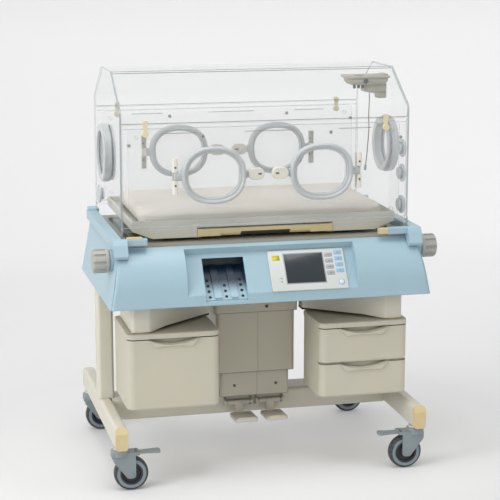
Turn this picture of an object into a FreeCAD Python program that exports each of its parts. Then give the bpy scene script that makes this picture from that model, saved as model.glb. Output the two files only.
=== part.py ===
import FreeCAD, Part
import math
import os

# Infant incubator on a height adjustable stand, in millimetres.
# X runs along the bed, Y from the front to the back, Z up.
# The origin is on the floor, in the middle of the four casters.

os.makedirs("parts", exist_ok=True)
Vector = FreeCAD.Vector

# Clearances
GAP = 0.3
PIN_GAP = 0.3
SLIDE_GAP = 0.6

# Overall sizes that the rest is placed from
HOOD_HALF = 429.0
HOOD_DEPTH_HALF = 249.0
HOOD_HEIGHT = 480.0
LEG_LENGTH = 652.0
SHELL_BOTTOM = 544.0
SHELL_HEIGHT = 162.0
SHELL_TOP = SHELL_BOTTOM + SHELL_HEIGHT
SHELL_END_MARGIN = 19.0
SHELL_END_LEAN = 29.0
SHELL_HALF_TOP = HOOD_HALF + SHELL_END_MARGIN
SHELL_HALF_BOTTOM = SHELL_HALF_TOP + SHELL_END_LEAN
PAN_MARGIN = 13.0
PAN_HALF = SHELL_HALF_BOTTOM - PAN_MARGIN
POST_INSET = 18.0
POST_X = PAN_HALF - POST_INSET

# Casters
WHEEL_RADIUS = 50.0
WHEEL_WIDTH = 30.0
HUB_RADIUS = 32.0
HUB_RIM = 6.0
HUB_BOSS_RADIUS = 13.0
HUB_DISH = 7.0
TREAD_ROUND = 9.0
AXLE_RADIUS = 5.0
CASTER_TRAIL = 32.0
CASTER_OUTSET = 4.0
CASTER_X = POST_X + CASTER_OUTSET
CASTER_INSET = 31.5
CASTER_Y = LEG_LENGTH / 2 - CASTER_INSET
FORK_WALL = 4.0
FORK_GAP = 1.5
FORK_TOE = 12.0
FORK_BRIDGE_DROP = 8.0
DOME_ROUND = 5.0
WHEEL_HEADROOM = 4.0
FORK_DOME_RADIUS = 27.0
CASTER_HEADROOM = 30.0
CASTER_HEIGHT = WHEEL_RADIUS * 2 + CASTER_HEADROOM
STEM_RADIUS = 7.0
STEM_LENGTH = 16.0
STEM_FLANGE_RADIUS = 20.0
STEM_FLANGE_HEIGHT = 6.0
BRAKE_LEVER_WIDTH = 34.0
BRAKE_LEVER_LENGTH = 66.0
BRAKE_PIN_RADIUS = 3.0
BRAKE_HUB_RADIUS = 6.0
BRAKE_EAR_RADIUS = 5.0
BRAKE_WAIST = 20.0
BRAKE_WAIST_REACH = 23.0
BRAKE_PIN_DROP = 19.0
BRAKE_PIN_Z = CASTER_HEIGHT - BRAKE_PIN_DROP
BRAKE_OFFSET = 20.0
BRAKE_THICK = 7.0

# Legs and crossbar
LEG_WIDTH = 36.0
LEG_HEIGHT = 68.0
LEG_WALL = 3.0
LEG_CORNER = 10.0
LEG_CAP = 14.0
LEG_CAP_BEVEL = 10.0
CROSSBAR_DEPTH = 100.0
CROSSBAR_WALL = 3.0

# Lift columns
LIFT_TRAVEL = 200.0
POST_WIDTH = 48.0
POST_DEPTH = 60.0
POST_WALL = 3.0
POST_CORNER = 9.0
POST_CLEARANCE = 9.0
OUTER_POST_TOP = SHELL_BOTTOM - POST_CLEARANCE
INNER_POST_OVERLAP = 305.0
ACTUATOR_RADIUS = 30.0
ACTUATOR_WALL = 4.0
ACTUATOR_CLEARANCE = 24.0
ACTUATOR_TOP = SHELL_BOTTOM - ACTUATOR_CLEARANCE
ACTUATOR_FLOOR = 8.0
ROD_RADIUS = 22.0
ROD_OVERLAP = 290.0

# Telescoping column cover
LOWER_SHROUD_HALF = 108.0
MIDDLE_SHROUD_HALF = 122.0
UPPER_SHROUD_HALF = 130.0
LOWER_SHROUD_FRONT = 100.0
MIDDLE_SHROUD_FRONT = 112.0
UPPER_SHROUD_FRONT = 119.0
SHROUD_WALL = 2.5
SHROUD_CORNER = 12.0
GLIDE_HEIGHT = 12.0
SHROUD_OVERLAP = 20.0
SHROUD_CLEARANCE = 149.0
LOWER_SHROUD_TOP = SHELL_BOTTOM - SHROUD_CLEARANCE
MIDDLE_SHROUD_BOTTOM = LOWER_SHROUD_TOP - LIFT_TRAVEL / 2 - SHROUD_OVERLAP
SHROUD_REACH = 28.0
MIDDLE_SHROUD_TOP = SHELL_BOTTOM + SHROUD_REACH
UPPER_SHROUD_BOTTOM = MIDDLE_SHROUD_TOP - LIFT_TRAVEL / 2 - GLIDE_HEIGHT * 0.75

# Foot pedals
PEDAL_WIDTH = 76.0
PEDAL_CENTRES = {"pedal_lower": -43.0, "pedal_raise": 56.0}
PEDAL_REACH = 96.0
PEDAL_PIVOT_Z = 168.0
PEDAL_DROP = 36.0
PEDAL_THICK = 12.0
PEDAL_PIN_RADIUS = 4.0
PEDAL_HUB_RADIUS = 8.0
PEDAL_WALL = 6.0
PEDAL_EAR_HALF = 14.0
PEDAL_PIVOT_Y = -(CROSSBAR_DEPTH / 2 + PEDAL_HUB_RADIUS + PEDAL_PIN_RADIUS)

# Blue base housing
FRONT_MARGIN = 13.0
FRONT_SWELL = 77.0
KNEE_SETBACK = 5.0
KNEE_HEIGHT = 46.0
BELLY_SETBACK = 27.0
BELLY_HEIGHT = 111.0
BACK_MARGIN = 1.0
BACK_LEAN = 12.0
SHELL_FRONT_TOP = HOOD_DEPTH_HALF + FRONT_MARGIN
SHELL_FRONT = SHELL_FRONT_TOP + FRONT_SWELL
SHELL_KNEE = SHELL_FRONT - KNEE_SETBACK
SHELL_KNEE_Z = SHELL_BOTTOM + KNEE_HEIGHT
SHELL_BELLY = SHELL_FRONT - BELLY_SETBACK
SHELL_BELLY_Z = SHELL_BOTTOM + BELLY_HEIGHT
SHELL_BACK_TOP = HOOD_DEPTH_HALF + BACK_MARGIN
SHELL_BACK = SHELL_BACK_TOP + BACK_LEAN
SHELL_WALL = 4.0
SHELL_EDGE = 14.0
SHELL_RIM = 22.0

# Recess in the housing's front, with the sensor dock and the control panel
RECESS_HALF = 252.0
RECESS_FOOT_INSET = 1.0
RECESS_RISE = 27.0
RECESS_HEAD_DROP = 26.0
RECESS_LIP_OUT = 12.0
RECESS_LIP_DROP = 6.0
RECESS_FOOT = SHELL_FRONT - RECESS_FOOT_INSET
RECESS_FOOT_Z = SHELL_BOTTOM + RECESS_RISE
RECESS_HEAD = SHELL_FRONT_TOP
RECESS_HEAD_Z = SHELL_TOP - RECESS_HEAD_DROP
RECESS_LIP = RECESS_HEAD + RECESS_LIP_OUT
RECESS_LIP_Z = SHELL_TOP - RECESS_LIP_DROP
DOCK_INSET = 52.0
DOCK_WIDTH = 122.0
DOCK_LEFT = DOCK_INSET - RECESS_HALF
DOCK_RIGHT = DOCK_LEFT + DOCK_WIDTH
DOCK_RISE = 10.0
DOCK_DEPTH = 26.0
DOCK_CLIMB = 86.0
DOCK_MOUTH = 28.0
DOCK_BOTTOM_Z = SHELL_BOTTOM + DOCK_RISE
DOCK_FLOOR_BACK = SHELL_FRONT_TOP - DOCK_DEPTH
DOCK_FLOOR_BACK_Z = DOCK_BOTTOM_Z + DOCK_CLIMB
DOCK_TOP_Z = DOCK_FLOOR_BACK_Z + DOCK_MOUTH
DOCK_RIB_WIDTH = 22.0
DOCK_RIB_HEIGHT = 5.0
SOCKET_RADIUS = 4.5
SOCKET_PITCH = 20.0
SOCKET_FOOT = 14.0
SOCKET_PROUD = 1.5
DOCK_INSERT_THICK = 2.5
DOCK_MARGIN = 4.0
DOCK_LANES = 3
PANEL_WIDTH = 228.0
PANEL_INSET = 29.0
PANEL_RIGHT = RECESS_HALF - PANEL_INSET
PANEL_LEFT = PANEL_RIGHT - PANEL_WIDTH
PANEL_THICK = 4.0
PANEL_MARGIN = 3.0
SCREEN_INSET = 47.0
SCREEN_WIDTH = 115.0
SCREEN_LEFT = PANEL_LEFT + SCREEN_INSET
SCREEN_RIGHT = SCREEN_LEFT + SCREEN_WIDTH
SCREEN_FOOT = 26.0
SCREEN_HEAD = 16.0
KEY_WIDTH = 24.0
KEY_HEIGHT = 13.0
KEY_PITCH = 19.0
KEY_THICK = 1.2
KEY_GAP = 5.0
KEY_STEP = 6.0
KEY_ROWS = 4
ROUND_KEY_RADIUS = 9.0
ROUND_KEY_FOOT = 14.0

# Chassis pan and deck
PAN_RISE = 30.0
PAN_FRONT_INSET = 19.0
PAN_BACK_INSET = 14.0
PAN_BOTTOM = SHELL_BOTTOM + PAN_RISE
PAN_THICK = 6.0
PAN_FRONT = SHELL_FRONT - PAN_FRONT_INSET
PAN_BACK = SHELL_BACK - PAN_BACK_INSET
STANDOFF_RADIUS = 10.0
STANDOFF_INSET = 15.0
DECK_INSET = 4.0
DECK_THICK = 8.0
WELL_INSET = 29.0
WELL_DEPTH_INSET = 49.0
WELL_SINK = 14.0
DECK_HALF = HOOD_HALF + BACK_MARGIN
DECK_FRONT = SHELL_FRONT_TOP - DECK_INSET
DECK_BACK = SHELL_BACK_TOP - DECK_INSET
DECK_TOP = SHELL_TOP + DECK_THICK
WELL_HALF = HOOD_HALF - WELL_INSET
WELL_DEPTH_HALF = HOOD_DEPTH_HALF - WELL_DEPTH_INSET
WELL_FLOOR_Z = SHELL_TOP - WELL_SINK
WELL_WALL = 3.0
AIR_SLOT_COUNT = 9
AIR_SLOT_PITCH = 80.0
AIR_SLOT_LENGTH = 56.0
AIR_SLOT_WIDTH = 9.0
AIR_SLOT_OUTSET = 22.0
AIR_SLOT_Y = WELL_DEPTH_HALF + AIR_SLOT_OUTSET

# Fan and heater under the deck
FAN_X = 250.0
FAN_RADIUS = 60.0
FAN_HEIGHT = 34.0
FAN_BLADES = 12
FAN_BLADE_THICK = 2.4
FAN_BLADE_ANGLE = 35.0
FAN_DISC = 3.0
FAN_HUB_RADIUS = 16.0
FAN_SHAFT_RADIUS = 4.0
MOTOR_RADIUS = 34.0
MOTOR_HEIGHT = 40.0
HEATER_X = -60.0
HEATER_RADIUS = 8.0
HEATER_LENGTH = 180.0
HEATER_PITCH = 44.0
HEATER_RISE = 42.0
HEATER_BLOCK = 10.0

# Tilt knobs on the housing's ends
KNOB_SETBACK = 12.0
KNOB_DROP = 34.0
KNOB_Y = KNOB_SETBACK - SHELL_FRONT_TOP
KNOB_Z = SHELL_TOP - KNOB_DROP
KNOB_RADIUS = 35.0
KNOB_PROUD = 36.0
KNOB_FACE_X = SHELL_HALF_BOTTOM + KNOB_PROUD
KNOB_LENGTH = 48.0
KNOB_FLUTES = 10
KNOB_FLUTE_RADIUS = 5.0
KNOB_COLLAR = 12.0
KNOB_ROUND = 6.0
KNOB_SHAFT_RADIUS = 8.0
ESCUTCHEON_RADIUS = 31.0
ESCUTCHEON_SINK = 12.0

# End rails beside the hood
RAIL_GAP = 1.0
RAIL_WIDTH = 28.0
RAIL_HEIGHT = 30.0
RAIL_OVERHANG = 2.0
RAIL_REACH = 34.0
RAIL_TAB_DROP = 23.0
RAIL_TAB_WIDTH = 13.0
RAIL_INNER = HOOD_HALF + RAIL_GAP
RAIL_OUTER = RAIL_INNER + RAIL_WIDTH
RAIL_TOP = SHELL_TOP + RAIL_HEIGHT
RAIL_BACK = SHELL_BACK_TOP + RAIL_OVERHANG
RAIL_FRONT = SHELL_FRONT_TOP + RAIL_REACH
RAIL_TAB_BOTTOM = SHELL_TOP - RAIL_TAB_DROP
RAIL_TAB_INNER = RAIL_INNER - RAIL_TAB_WIDTH
ARM_LENGTH = 58.0
ARM_SETBACK = 10.0
ARM_RISE = 10.0
ARM_END = RAIL_TAB_INNER - ARM_LENGTH
ARM_FRONT = RAIL_FRONT - ARM_SETBACK
ARM_DEPTH = 22.0
ARM_BOTTOM = SHELL_TOP + ARM_RISE
ARM_PAD_HEIGHT = 4.0

# Storage pods under the base
HANGER_DROP = 82.0
HANGER_BOTTOM = SHELL_BOTTOM - HANGER_DROP
HANGER_LEFT = 407.0
HANGER_NOSE = 355.0
HANGER_INNER = 144.0
HANGER_FRONT = 281.0
HANGER_INNER_Y = 112.0
HANGER_BACK = 70.0
HANGER_WALL = 4.0
HANGER_FLOOR = 8.0
PIVOT_X = 382.0
PIVOT_Y = -255.0
PIVOT_RADIUS = 9.0
PIVOT_PAD_RADIUS = 24.0
PIVOT_PAD_HEIGHT = 3.0
POD_OUTER = 423.0
POD_INNER = 150.0
POD_FRONT = 293.0
POD_BACK = 45.0
POD_CHAMFER = 65.0
POD_CORNER = 14.0
POD_FRONT_ROUND = 22.0
POD_HEIGHT = 227.0
POD_LID_TOP = HANGER_BOTTOM - PIVOT_PAD_HEIGHT
POD_BOTTOM = POD_LID_TOP - POD_HEIGHT
POD_LID_THICK = 15.0
POD_WALL = 4.0
POD_REVEAL = 1.5
LID_ROUND = 4.0
PIVOT_BOSS = 5.0
DRAWER_WALL = 3.0
DRAWER_FACE = 24.0
DRAWER_SPLIT = 104.0
DRAWER_SPLIT_Z = POD_BOTTOM + DRAWER_SPLIT
SHELF_THICK = 3.0
SCOOP_HALF = 80.0
SCOOP_DEPTH = 18.0
LIP_OUT = 5.0
LIP_HALF = 76.0
LIP_LOBE = 54.0
LIP_LOBE_DROP = 27.0
LIP_MIDDLE = 24.0
LIP_MIDDLE_DROP = 23.0
LIP_ROUND = 2.0
DRAWER_ROOM = 26.0
DRAWER_EDGE = 2.0
DRAWER_SWEEP = 8.0

# Bed
FRAME_CLEARANCE = 14.0
FRAME_RISE = 6.0
FRAME_THICK = 14.0
FRAME_HALF = WELL_HALF - FRAME_CLEARANCE
FRAME_DEPTH_HALF = WELL_DEPTH_HALF - FRAME_CLEARANCE
FRAME_BAR = 18.0
FRAME_BOTTOM = WELL_FLOOR_Z + FRAME_RISE
FRAME_TOP = FRAME_BOTTOM + FRAME_THICK
BED_PIVOT_INSET = 14.0
BED_PIVOT_X = FRAME_HALF - BED_PIVOT_INSET
BED_PIVOT_RADIUS = 4.0
LUG_THICK = 6.0
LUG_FOOT = 10.0
LUG_TIP = 7.0
REST_HALF = 7.0
GUIDE_DROP = 2.0
TRAY_INSET = 34.0
TRAY_DEPTH_INSET = 19.0
TRAY_RISE = 10.0
TRAY_SKIRT = 28.0
TRAY_RIM = 24.0
TRAY_HALF = HOOD_HALF - TRAY_INSET
TRAY_DEPTH_HALF = HOOD_DEPTH_HALF - TRAY_DEPTH_INSET
TRAY_BOTTOM = DECK_TOP + TRAY_RISE
TRAY_FLOOR = TRAY_BOTTOM + TRAY_SKIRT
TRAY_FLOOR_THICK = 4.0
TRAY_TOP = TRAY_FLOOR + TRAY_RIM
TRAY_WALL = 5.0
TRAY_BEVEL_X = 60.0
TRAY_BEVEL_Z = 24.0
TRAY_GUIDE = 4.0
TRAY_GUIDE_FOOT = 10.0
XRAY_HALF = 203.0
XRAY_HEIGHT = 22.0
XRAY_FLOOR = 3.0
XRAY_GRIP = 68.0
XRAY_DIP = 6.0
XRAY_WALL = 4.0
XRAY_FRONT_WALL = 8.0
XRAY_PROUD = 2.0
MATTRESS_INSET = 19.0
MATTRESS_DEPTH_INSET = 20.0
MATTRESS_HALF = TRAY_HALF - MATTRESS_INSET
MATTRESS_DEPTH_HALF = TRAY_DEPTH_HALF - MATTRESS_DEPTH_INSET
MATTRESS_HEIGHT = 44.0
MATTRESS_CORNER = 30.0
MATTRESS_ROUND = 12.0

# Clear hood
HOOD_TOP = DECK_TOP + HOOD_HEIGHT
HOOD_FLAT_HALF = 90.0
SHOULDER_DROP = 103.0
HOOD_SHOULDER = HOOD_TOP - SHOULDER_DROP
HOOD_WALL = 5.0
HOOD_BEND = 24.0
END_WALL = 6.0
HOOD_PIVOT_RADIUS = 6.0
HOOD_PIVOT_SETBACK = 22.0
DOOR_RISE = 35.0
DOOR_HEAD_DROP = 35.0
DOOR_END_GAP = 8.0
DOOR_HINGE_RISE = 4.0
DOOR_CANOPY_GAP = 2.0
DOOR_BOTTOM = DECK_TOP + DOOR_RISE
DOOR_TOP = HOOD_SHOULDER - DOOR_HEAD_DROP
DOOR_HALF = HOOD_HALF - DOOR_END_GAP
DOOR_THICK = 5.0
DOOR_HINGE_Z = DOOR_BOTTOM + DOOR_HINGE_RISE
CANOPY_EDGE = DOOR_TOP + DOOR_CANOPY_GAP
DOOR_PIN_RADIUS = 2.0
DOOR_LUG = 5.0
INNER_WALL_GAP = 6.0
INNER_WALL_THICK = 3.0
INNER_WALL_FOOT = 13.0
INNER_WALL_HEAD = 12.0
INNER_WALL_END = 17.0
INNER_WALL_BOTTOM = DOOR_BOTTOM + INNER_WALL_FOOT
INNER_WALL_TOP = DOOR_TOP - INNER_WALL_HEAD
INNER_WALL_HALF = DOOR_HALF - INNER_WALL_END
INNER_WALL_CORNER = 12.0
SPACER_RADIUS = 6.0
SPACER_INSET = 24.0

# Hand ports in the doors
PORT_X = 160.0
PORT_RISE = 159.0
PORT_Z = DOOR_BOTTOM + PORT_RISE
PORT_HALF_WIDTH = 94.0
PORT_HALF_HEIGHT = 83.0
PORT_RING = 16.0
PORT_DEPTH = 22.0
PORT_CORNER = 70.0
PORT_SEAL = 3.0
PANE_THICK = 4.0
HINGE_BAR_HALF = 52.0
HINGE_BAR_WIDTH = 15.0
HINGE_BAR_DEPTH = 14.0
HINGE_BAR_OUTSET = 19.0
HINGE_BAR_OFFSET = PORT_HALF_WIDTH + HINGE_BAR_OUTSET
PORT_EAR = 12.0
LATCH_OUTSET = 30.0
LATCH_OFFSET = PORT_HALF_WIDTH + LATCH_OUTSET
LATCH_HALF_WIDTH = 24.0
LATCH_HALF_HEIGHT = 17.0
LATCH_DEPTH = 15.0
LATCH_TRAVEL = 3.0
LATCH_STEM_RADIUS = 5.0

# Turning latches at the doors' upper corners
TURN_LATCH_INSET = 65.0
TURN_LATCH_DROP = 26.0
TURN_LATCH_X = DOOR_HALF - TURN_LATCH_INSET
TURN_LATCH_Z = DOOR_TOP - TURN_LATCH_DROP
TURN_LATCH_RADIUS = 9.0
TURN_LATCH_STEM_RADIUS = 3.0
TURN_LATCH_REACH = 38.0
TURN_LATCH_THICK = 7.0

# Round ports and tubing plugs in the hood's ends
END_PORT_Y = -20.0
END_PORT_RISE = 236.0
END_PORT_Z = DECK_TOP + END_PORT_RISE
END_PORT_RADIUS = 86.0
END_PORT_RING = 15.0
END_PORT_OUT = 22.0
END_PORT_IN = 6.0
END_PORT_LIP = 6.0
PLUG_RADIUS = 27.0
PLUG_BORE_RADIUS = 18.0
PLUG_Y = -185.0
PLUG_RISES = (74.0, 169.0, 243.0)
PLUG_LEFT_Y = 144.0
PLUG_LEFT_RISE = 86.0

# Sensor module under the hood's roof, with its hanging lead
MODULE_WIDTH = 118.0
MODULE_END_GAP = 11.0
MODULE_RIGHT = HOOD_HALF - MODULE_END_GAP
MODULE_LEFT = MODULE_RIGHT - MODULE_WIDTH
MODULE_FRONT = -90.0
MODULE_BACK = -10.0
MODULE_DROP = 18.0
MODULE_HEIGHT = 48.0
MODULE_SLANT = 8.0
MODULE_CHIN = 16.0
MODULE_BEVEL = 34.0
MODULE_NOSE = 18.0
MODULE_NOSE_RISE = 10.0
MODULE_INSET = 18.0
SOCKET_WIDTH = 15.0
SOCKET_DROP = 28.0
MODULE_TOP = HOOD_TOP - MODULE_DROP
MODULE_BOTTOM = MODULE_TOP - MODULE_HEIGHT
SOCKET_LEFT = MODULE_RIGHT - SOCKET_WIDTH
SOCKET_BACK = 92.0
SOCKET_BOTTOM = MODULE_BOTTOM - SOCKET_DROP
LEAD_RADIUS = 1.8
LEAD_START_X = MODULE_RIGHT - 6.0
LEAD_START_Y = SOCKET_BACK - 12.0
LEAD_BENDS = ((0, 0, 0), (0, 0, 36), (-2.5, -1.5, 74), (0.5, 1, 115), (-2, 2.5, 160), (-5.5, 1, 202),
              (-8.5, 3, 231))
LEAD_POINTS = [(LEAD_START_X + x, LEAD_START_Y + y, SOCKET_BOTTOM - drop) for x, y, drop in LEAD_BENDS]
PROBE_RADIUS = 4.0
PROBE_LENGTH = 16.0

LEG_TOP = CASTER_HEIGHT + LEG_HEIGHT
HOOD_REST_Z = DECK_TOP + GAP
HOOD_PIVOT = (HOOD_DEPTH_HALF - HOOD_PIVOT_SETBACK, HOOD_REST_Z + HOOD_PIVOT_SETBACK)
SIDES = (-1, 1)


# Drawing helpers

def to_space(plane, offset, u, v):
    """Place a flat point (u, v) on a plane across X, Y or Z at the offset."""
    if plane == "x":
        return Vector(offset, u, v)
    if plane == "y":
        return Vector(u, offset, v)
    return Vector(u, v, offset)


def corner_cut(before, corner, after, radius):
    """Return where a rounded corner starts, its middle and where it ends."""
    back = (before - corner).normalize()
    ahead = (after - corner).normalize()
    half = back.getAngle(ahead) / 2
    reach = radius / math.tan(half)
    bisector = (back + ahead).normalize()
    middle = corner + bisector * (radius / math.sin(half) - radius)
    return corner + back * reach, middle, corner + ahead * reach


def outline(points, radii):
    """Return a closed flat wire through the points, with each corner rounded by its radius."""
    flat = [Vector(u, v, 0) for u, v in points]
    if not isinstance(radii, (list, tuple)):
        radii = [radii] * len(flat)
    edges = []
    starts = []
    ends = []
    for index, corner in enumerate(flat):
        if radii[index] > 0:
            after = flat[(index + 1) % len(flat)]
            start, middle, end = corner_cut(flat[index - 1], corner, after, radii[index])
            edges.append(Part.Arc(start, middle, end).toShape())
        else:
            start = corner
            end = corner
        starts.append(start)
        ends.append(end)
    for index, end in enumerate(ends):
        following = starts[(index + 1) % len(flat)]
        if end.distanceToPoint(following) > 1e-6:
            edges.append(Part.makeLine(end, following))
    return Part.Wire(Part.__sortEdges__(edges))


def turn_flat(shape, plane):
    """Turn a shape drawn on the XY plane so that it lies across the named axis."""
    turned = shape.copy()
    if plane == "y":
        turned.rotate(Vector(), Vector(1, 0, 0), 90)
    if plane == "x":
        turned.rotate(Vector(), Vector(1, 1, 1), 120)
    return turned


def prism(plane, points, radii, start, end):
    """Carry a rounded outline along the axis from start to end."""
    face = turn_flat(Part.Face(outline(points, radii)), plane)
    direction = {"x": Vector(1, 0, 0), "y": Vector(0, 1, 0), "z": Vector(0, 0, 1)}[plane]
    face.translate(direction * start)
    return face.extrude(direction * (end - start))


def rectangle(left, right, low, high):
    return [(left, low), (right, low), (right, high), (left, high)]


def block(x0, x1, y0, y1, z0, z1):
    return Part.makeBox(x1 - x0, y1 - y0, z1 - z0, Vector(x0, y0, z0))


def upright(x0, x1, y0, y1, z0, z1, radius):
    """Return a block whose four upright edges are rounded."""
    return prism("z", rectangle(x0, x1, y0, y1), radius, z0, z1)


def tube(x0, x1, y0, y1, z0, z1, radius, wall):
    """Return an open ended upright tube of rounded section."""
    bore = upright(x0 + wall, x1 - wall, y0 + wall, y1 - wall, z0, z1, radius - wall)
    return upright(x0, x1, y0, y1, z0, z1, radius).cut(bore)


def rod(axis, centre, radius, start, end):
    """Return a cylinder along an axis, from start to end on it."""
    direction = {"x": Vector(1, 0, 0), "y": Vector(0, 1, 0), "z": Vector(0, 0, 1)}[axis]
    base = to_space(axis, start, *centre)
    return Part.makeCylinder(radius, end - start, base, direction)


def mirrored(shape):
    """Return the shape's other hand, across the plane X = 0."""
    return shape.mirror(Vector(), Vector(1, 0, 0))


def handed(shape, side):
    """Return a shape drawn for the right side on the side asked for."""
    return shape if side > 0 else mirrored(shape)


def both_sides(shape):
    return [shape, mirrored(shape)]


def turned_back(shape):
    """Return a copy turned half a turn about the upright axis, from the front to the back."""
    copy = shape.copy()
    copy.rotate(Vector(), Vector(0, 0, 1), 180)
    return copy


def export(node, *solids):
    """Write one node's solids to its own file."""
    pieces = []
    for solid in solids:
        pieces.extend(solid.Solids)
    shape = pieces[0] if len(pieces) == 1 else Part.makeCompound(pieces)
    shape.exportStep("parts/" + node + ".step")


# Stand

def leg():
    """A rounded tube that runs from the front caster to the back one."""
    half = LEG_LENGTH / 2
    left = CASTER_X - LEG_WIDTH / 2
    right = CASTER_X + LEG_WIDTH / 2
    outer = prism("y", rectangle(left, right, CASTER_HEIGHT, LEG_TOP), LEG_CORNER, -half, half)
    wall = LEG_WALL
    inside = rectangle(left + wall, right - wall, CASTER_HEIGHT + wall, LEG_TOP - wall)
    return outer.cut(prism("y", inside, LEG_CORNER - wall, -half, half))


def leg_cap():
    """The front end plug of a leg, bevelled at its top."""
    start = -LEG_LENGTH / 2 - LEG_CAP
    left = CASTER_X - LEG_WIDTH / 2
    right = CASTER_X + LEG_WIDTH / 2
    body = prism("y", rectangle(left, right, CASTER_HEIGHT, LEG_TOP), LEG_CORNER, start, start + LEG_CAP)
    bevel = LEG_CAP_BEVEL
    wedge = prism("x", [(start - 1, LEG_TOP - bevel * 2), (start + bevel, LEG_TOP + 1),
                        (start - 1, LEG_TOP + 1)], 0, left - 1, right + 1)
    inset = LEG_WALL + GAP
    plug = rectangle(left + inset, right - inset, CASTER_HEIGHT + inset, LEG_TOP - inset)
    tongue = prism("y", plug, LEG_CORNER - inset, start + LEG_CAP, start + LEG_CAP * 2)
    return body.cut(wedge).fuse(tongue).removeSplitter()


def caster_stem(side_y):
    """The flange under a leg and the stem that a fork swivels on."""
    centre = (CASTER_X, side_y * CASTER_Y)
    flange_bottom = CASTER_HEIGHT - STEM_FLANGE_HEIGHT
    flange = rod("z", centre, STEM_FLANGE_RADIUS, flange_bottom, CASTER_HEIGHT)
    stem = rod("z", centre, STEM_RADIUS, flange_bottom - STEM_LENGTH, flange_bottom)
    return flange.fuse(stem).removeSplitter()


def crossbar():
    """The hollow beam between the legs."""
    end = CASTER_X - LEG_WIDTH / 2
    half = CROSSBAR_DEPTH / 2
    outer = prism("x", rectangle(-half, half, CASTER_HEIGHT, LEG_TOP), LEG_CORNER, -end, end)
    wall = CROSSBAR_WALL
    inside = rectangle(wall - half, half - wall, CASTER_HEIGHT + wall, LEG_TOP - wall)
    return outer.cut(prism("x", inside, LEG_CORNER - wall, -end, end))


def outer_post():
    half_x = POST_WIDTH / 2
    half_y = POST_DEPTH / 2
    return tube(POST_X - half_x, POST_X + half_x, -half_y, half_y, LEG_TOP, OUTER_POST_TOP,
                POST_CORNER, POST_WALL)


def inner_post():
    inset = POST_WALL + SLIDE_GAP
    half_x = POST_WIDTH / 2 - inset
    half_y = POST_DEPTH / 2 - inset
    return tube(POST_X - half_x, POST_X + half_x, -half_y, half_y, OUTER_POST_TOP - INNER_POST_OVERLAP,
                PAN_BOTTOM, POST_CORNER - POST_WALL + 1, POST_WALL)


def actuator_tube():
    """The fixed tube of the lifting drive in the middle of the column."""
    outer = rod("z", (0, 0), ACTUATOR_RADIUS, LEG_TOP, ACTUATOR_TOP)
    bore = ACTUATOR_RADIUS - ACTUATOR_WALL
    return outer.cut(rod("z", (0, 0), bore, LEG_TOP + ACTUATOR_FLOOR, ACTUATOR_TOP + 1))


def actuator_rod():
    return rod("z", (0, 0), ROD_RADIUS, ACTUATOR_TOP - ROD_OVERLAP, PAN_BOTTOM)


def shroud(half, front, bottom, top):
    return tube(-half, half, -front, front, bottom, top, SHROUD_CORNER, SHROUD_WALL)


def middle_shroud():
    """The middle cover, with a glide ring outside its top and another inside its foot."""
    body = shroud(MIDDLE_SHROUD_HALF, MIDDLE_SHROUD_FRONT, MIDDLE_SHROUD_BOTTOM, MIDDLE_SHROUD_TOP)
    upper_half = UPPER_SHROUD_HALF - SHROUD_WALL - GAP
    upper_front = UPPER_SHROUD_FRONT - SHROUD_WALL - GAP
    thick = upper_half - MIDDLE_SHROUD_HALF + 1
    top_ring = tube(-upper_half, upper_half, -upper_front, upper_front, MIDDLE_SHROUD_TOP - GLIDE_HEIGHT,
                    MIDDLE_SHROUD_TOP, SHROUD_CORNER - SHROUD_WALL, thick)
    lower_half = LOWER_SHROUD_HALF + GAP
    lower_front = LOWER_SHROUD_FRONT + GAP
    foot = upright(1 - MIDDLE_SHROUD_HALF, MIDDLE_SHROUD_HALF - 1, 1 - MIDDLE_SHROUD_FRONT,
                   MIDDLE_SHROUD_FRONT - 1, MIDDLE_SHROUD_BOTTOM, MIDDLE_SHROUD_BOTTOM + GLIDE_HEIGHT,
                   SHROUD_CORNER - 1)
    passage = upright(-lower_half, lower_half, -lower_front, lower_front, MIDDLE_SHROUD_BOTTOM,
                      MIDDLE_SHROUD_BOTTOM + GLIDE_HEIGHT, SHROUD_CORNER + GAP)
    return body.fuse([top_ring, foot.cut(passage)]).removeSplitter()


def build_stand():
    caps = both_sides(leg_cap())
    back_caps = [turned_back(cap) for cap in caps]
    stems = []
    for side_y in SIDES:
        stems += both_sides(caster_stem(side_y))
    export("legs", *both_sides(leg()), *stems)
    export("leg_end_caps", *caps, *back_caps)
    export("crossbar", crossbar(), *[pedal_bracket(centre) for centre in PEDAL_CENTRES.values()])
    export("outer_posts", *both_sides(outer_post()), actuator_tube())
    export("lower_shroud", shroud(LOWER_SHROUD_HALF, LOWER_SHROUD_FRONT, LEG_TOP, LOWER_SHROUD_TOP))
    export("middle_shroud", middle_shroud())


# Foot pedals

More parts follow.
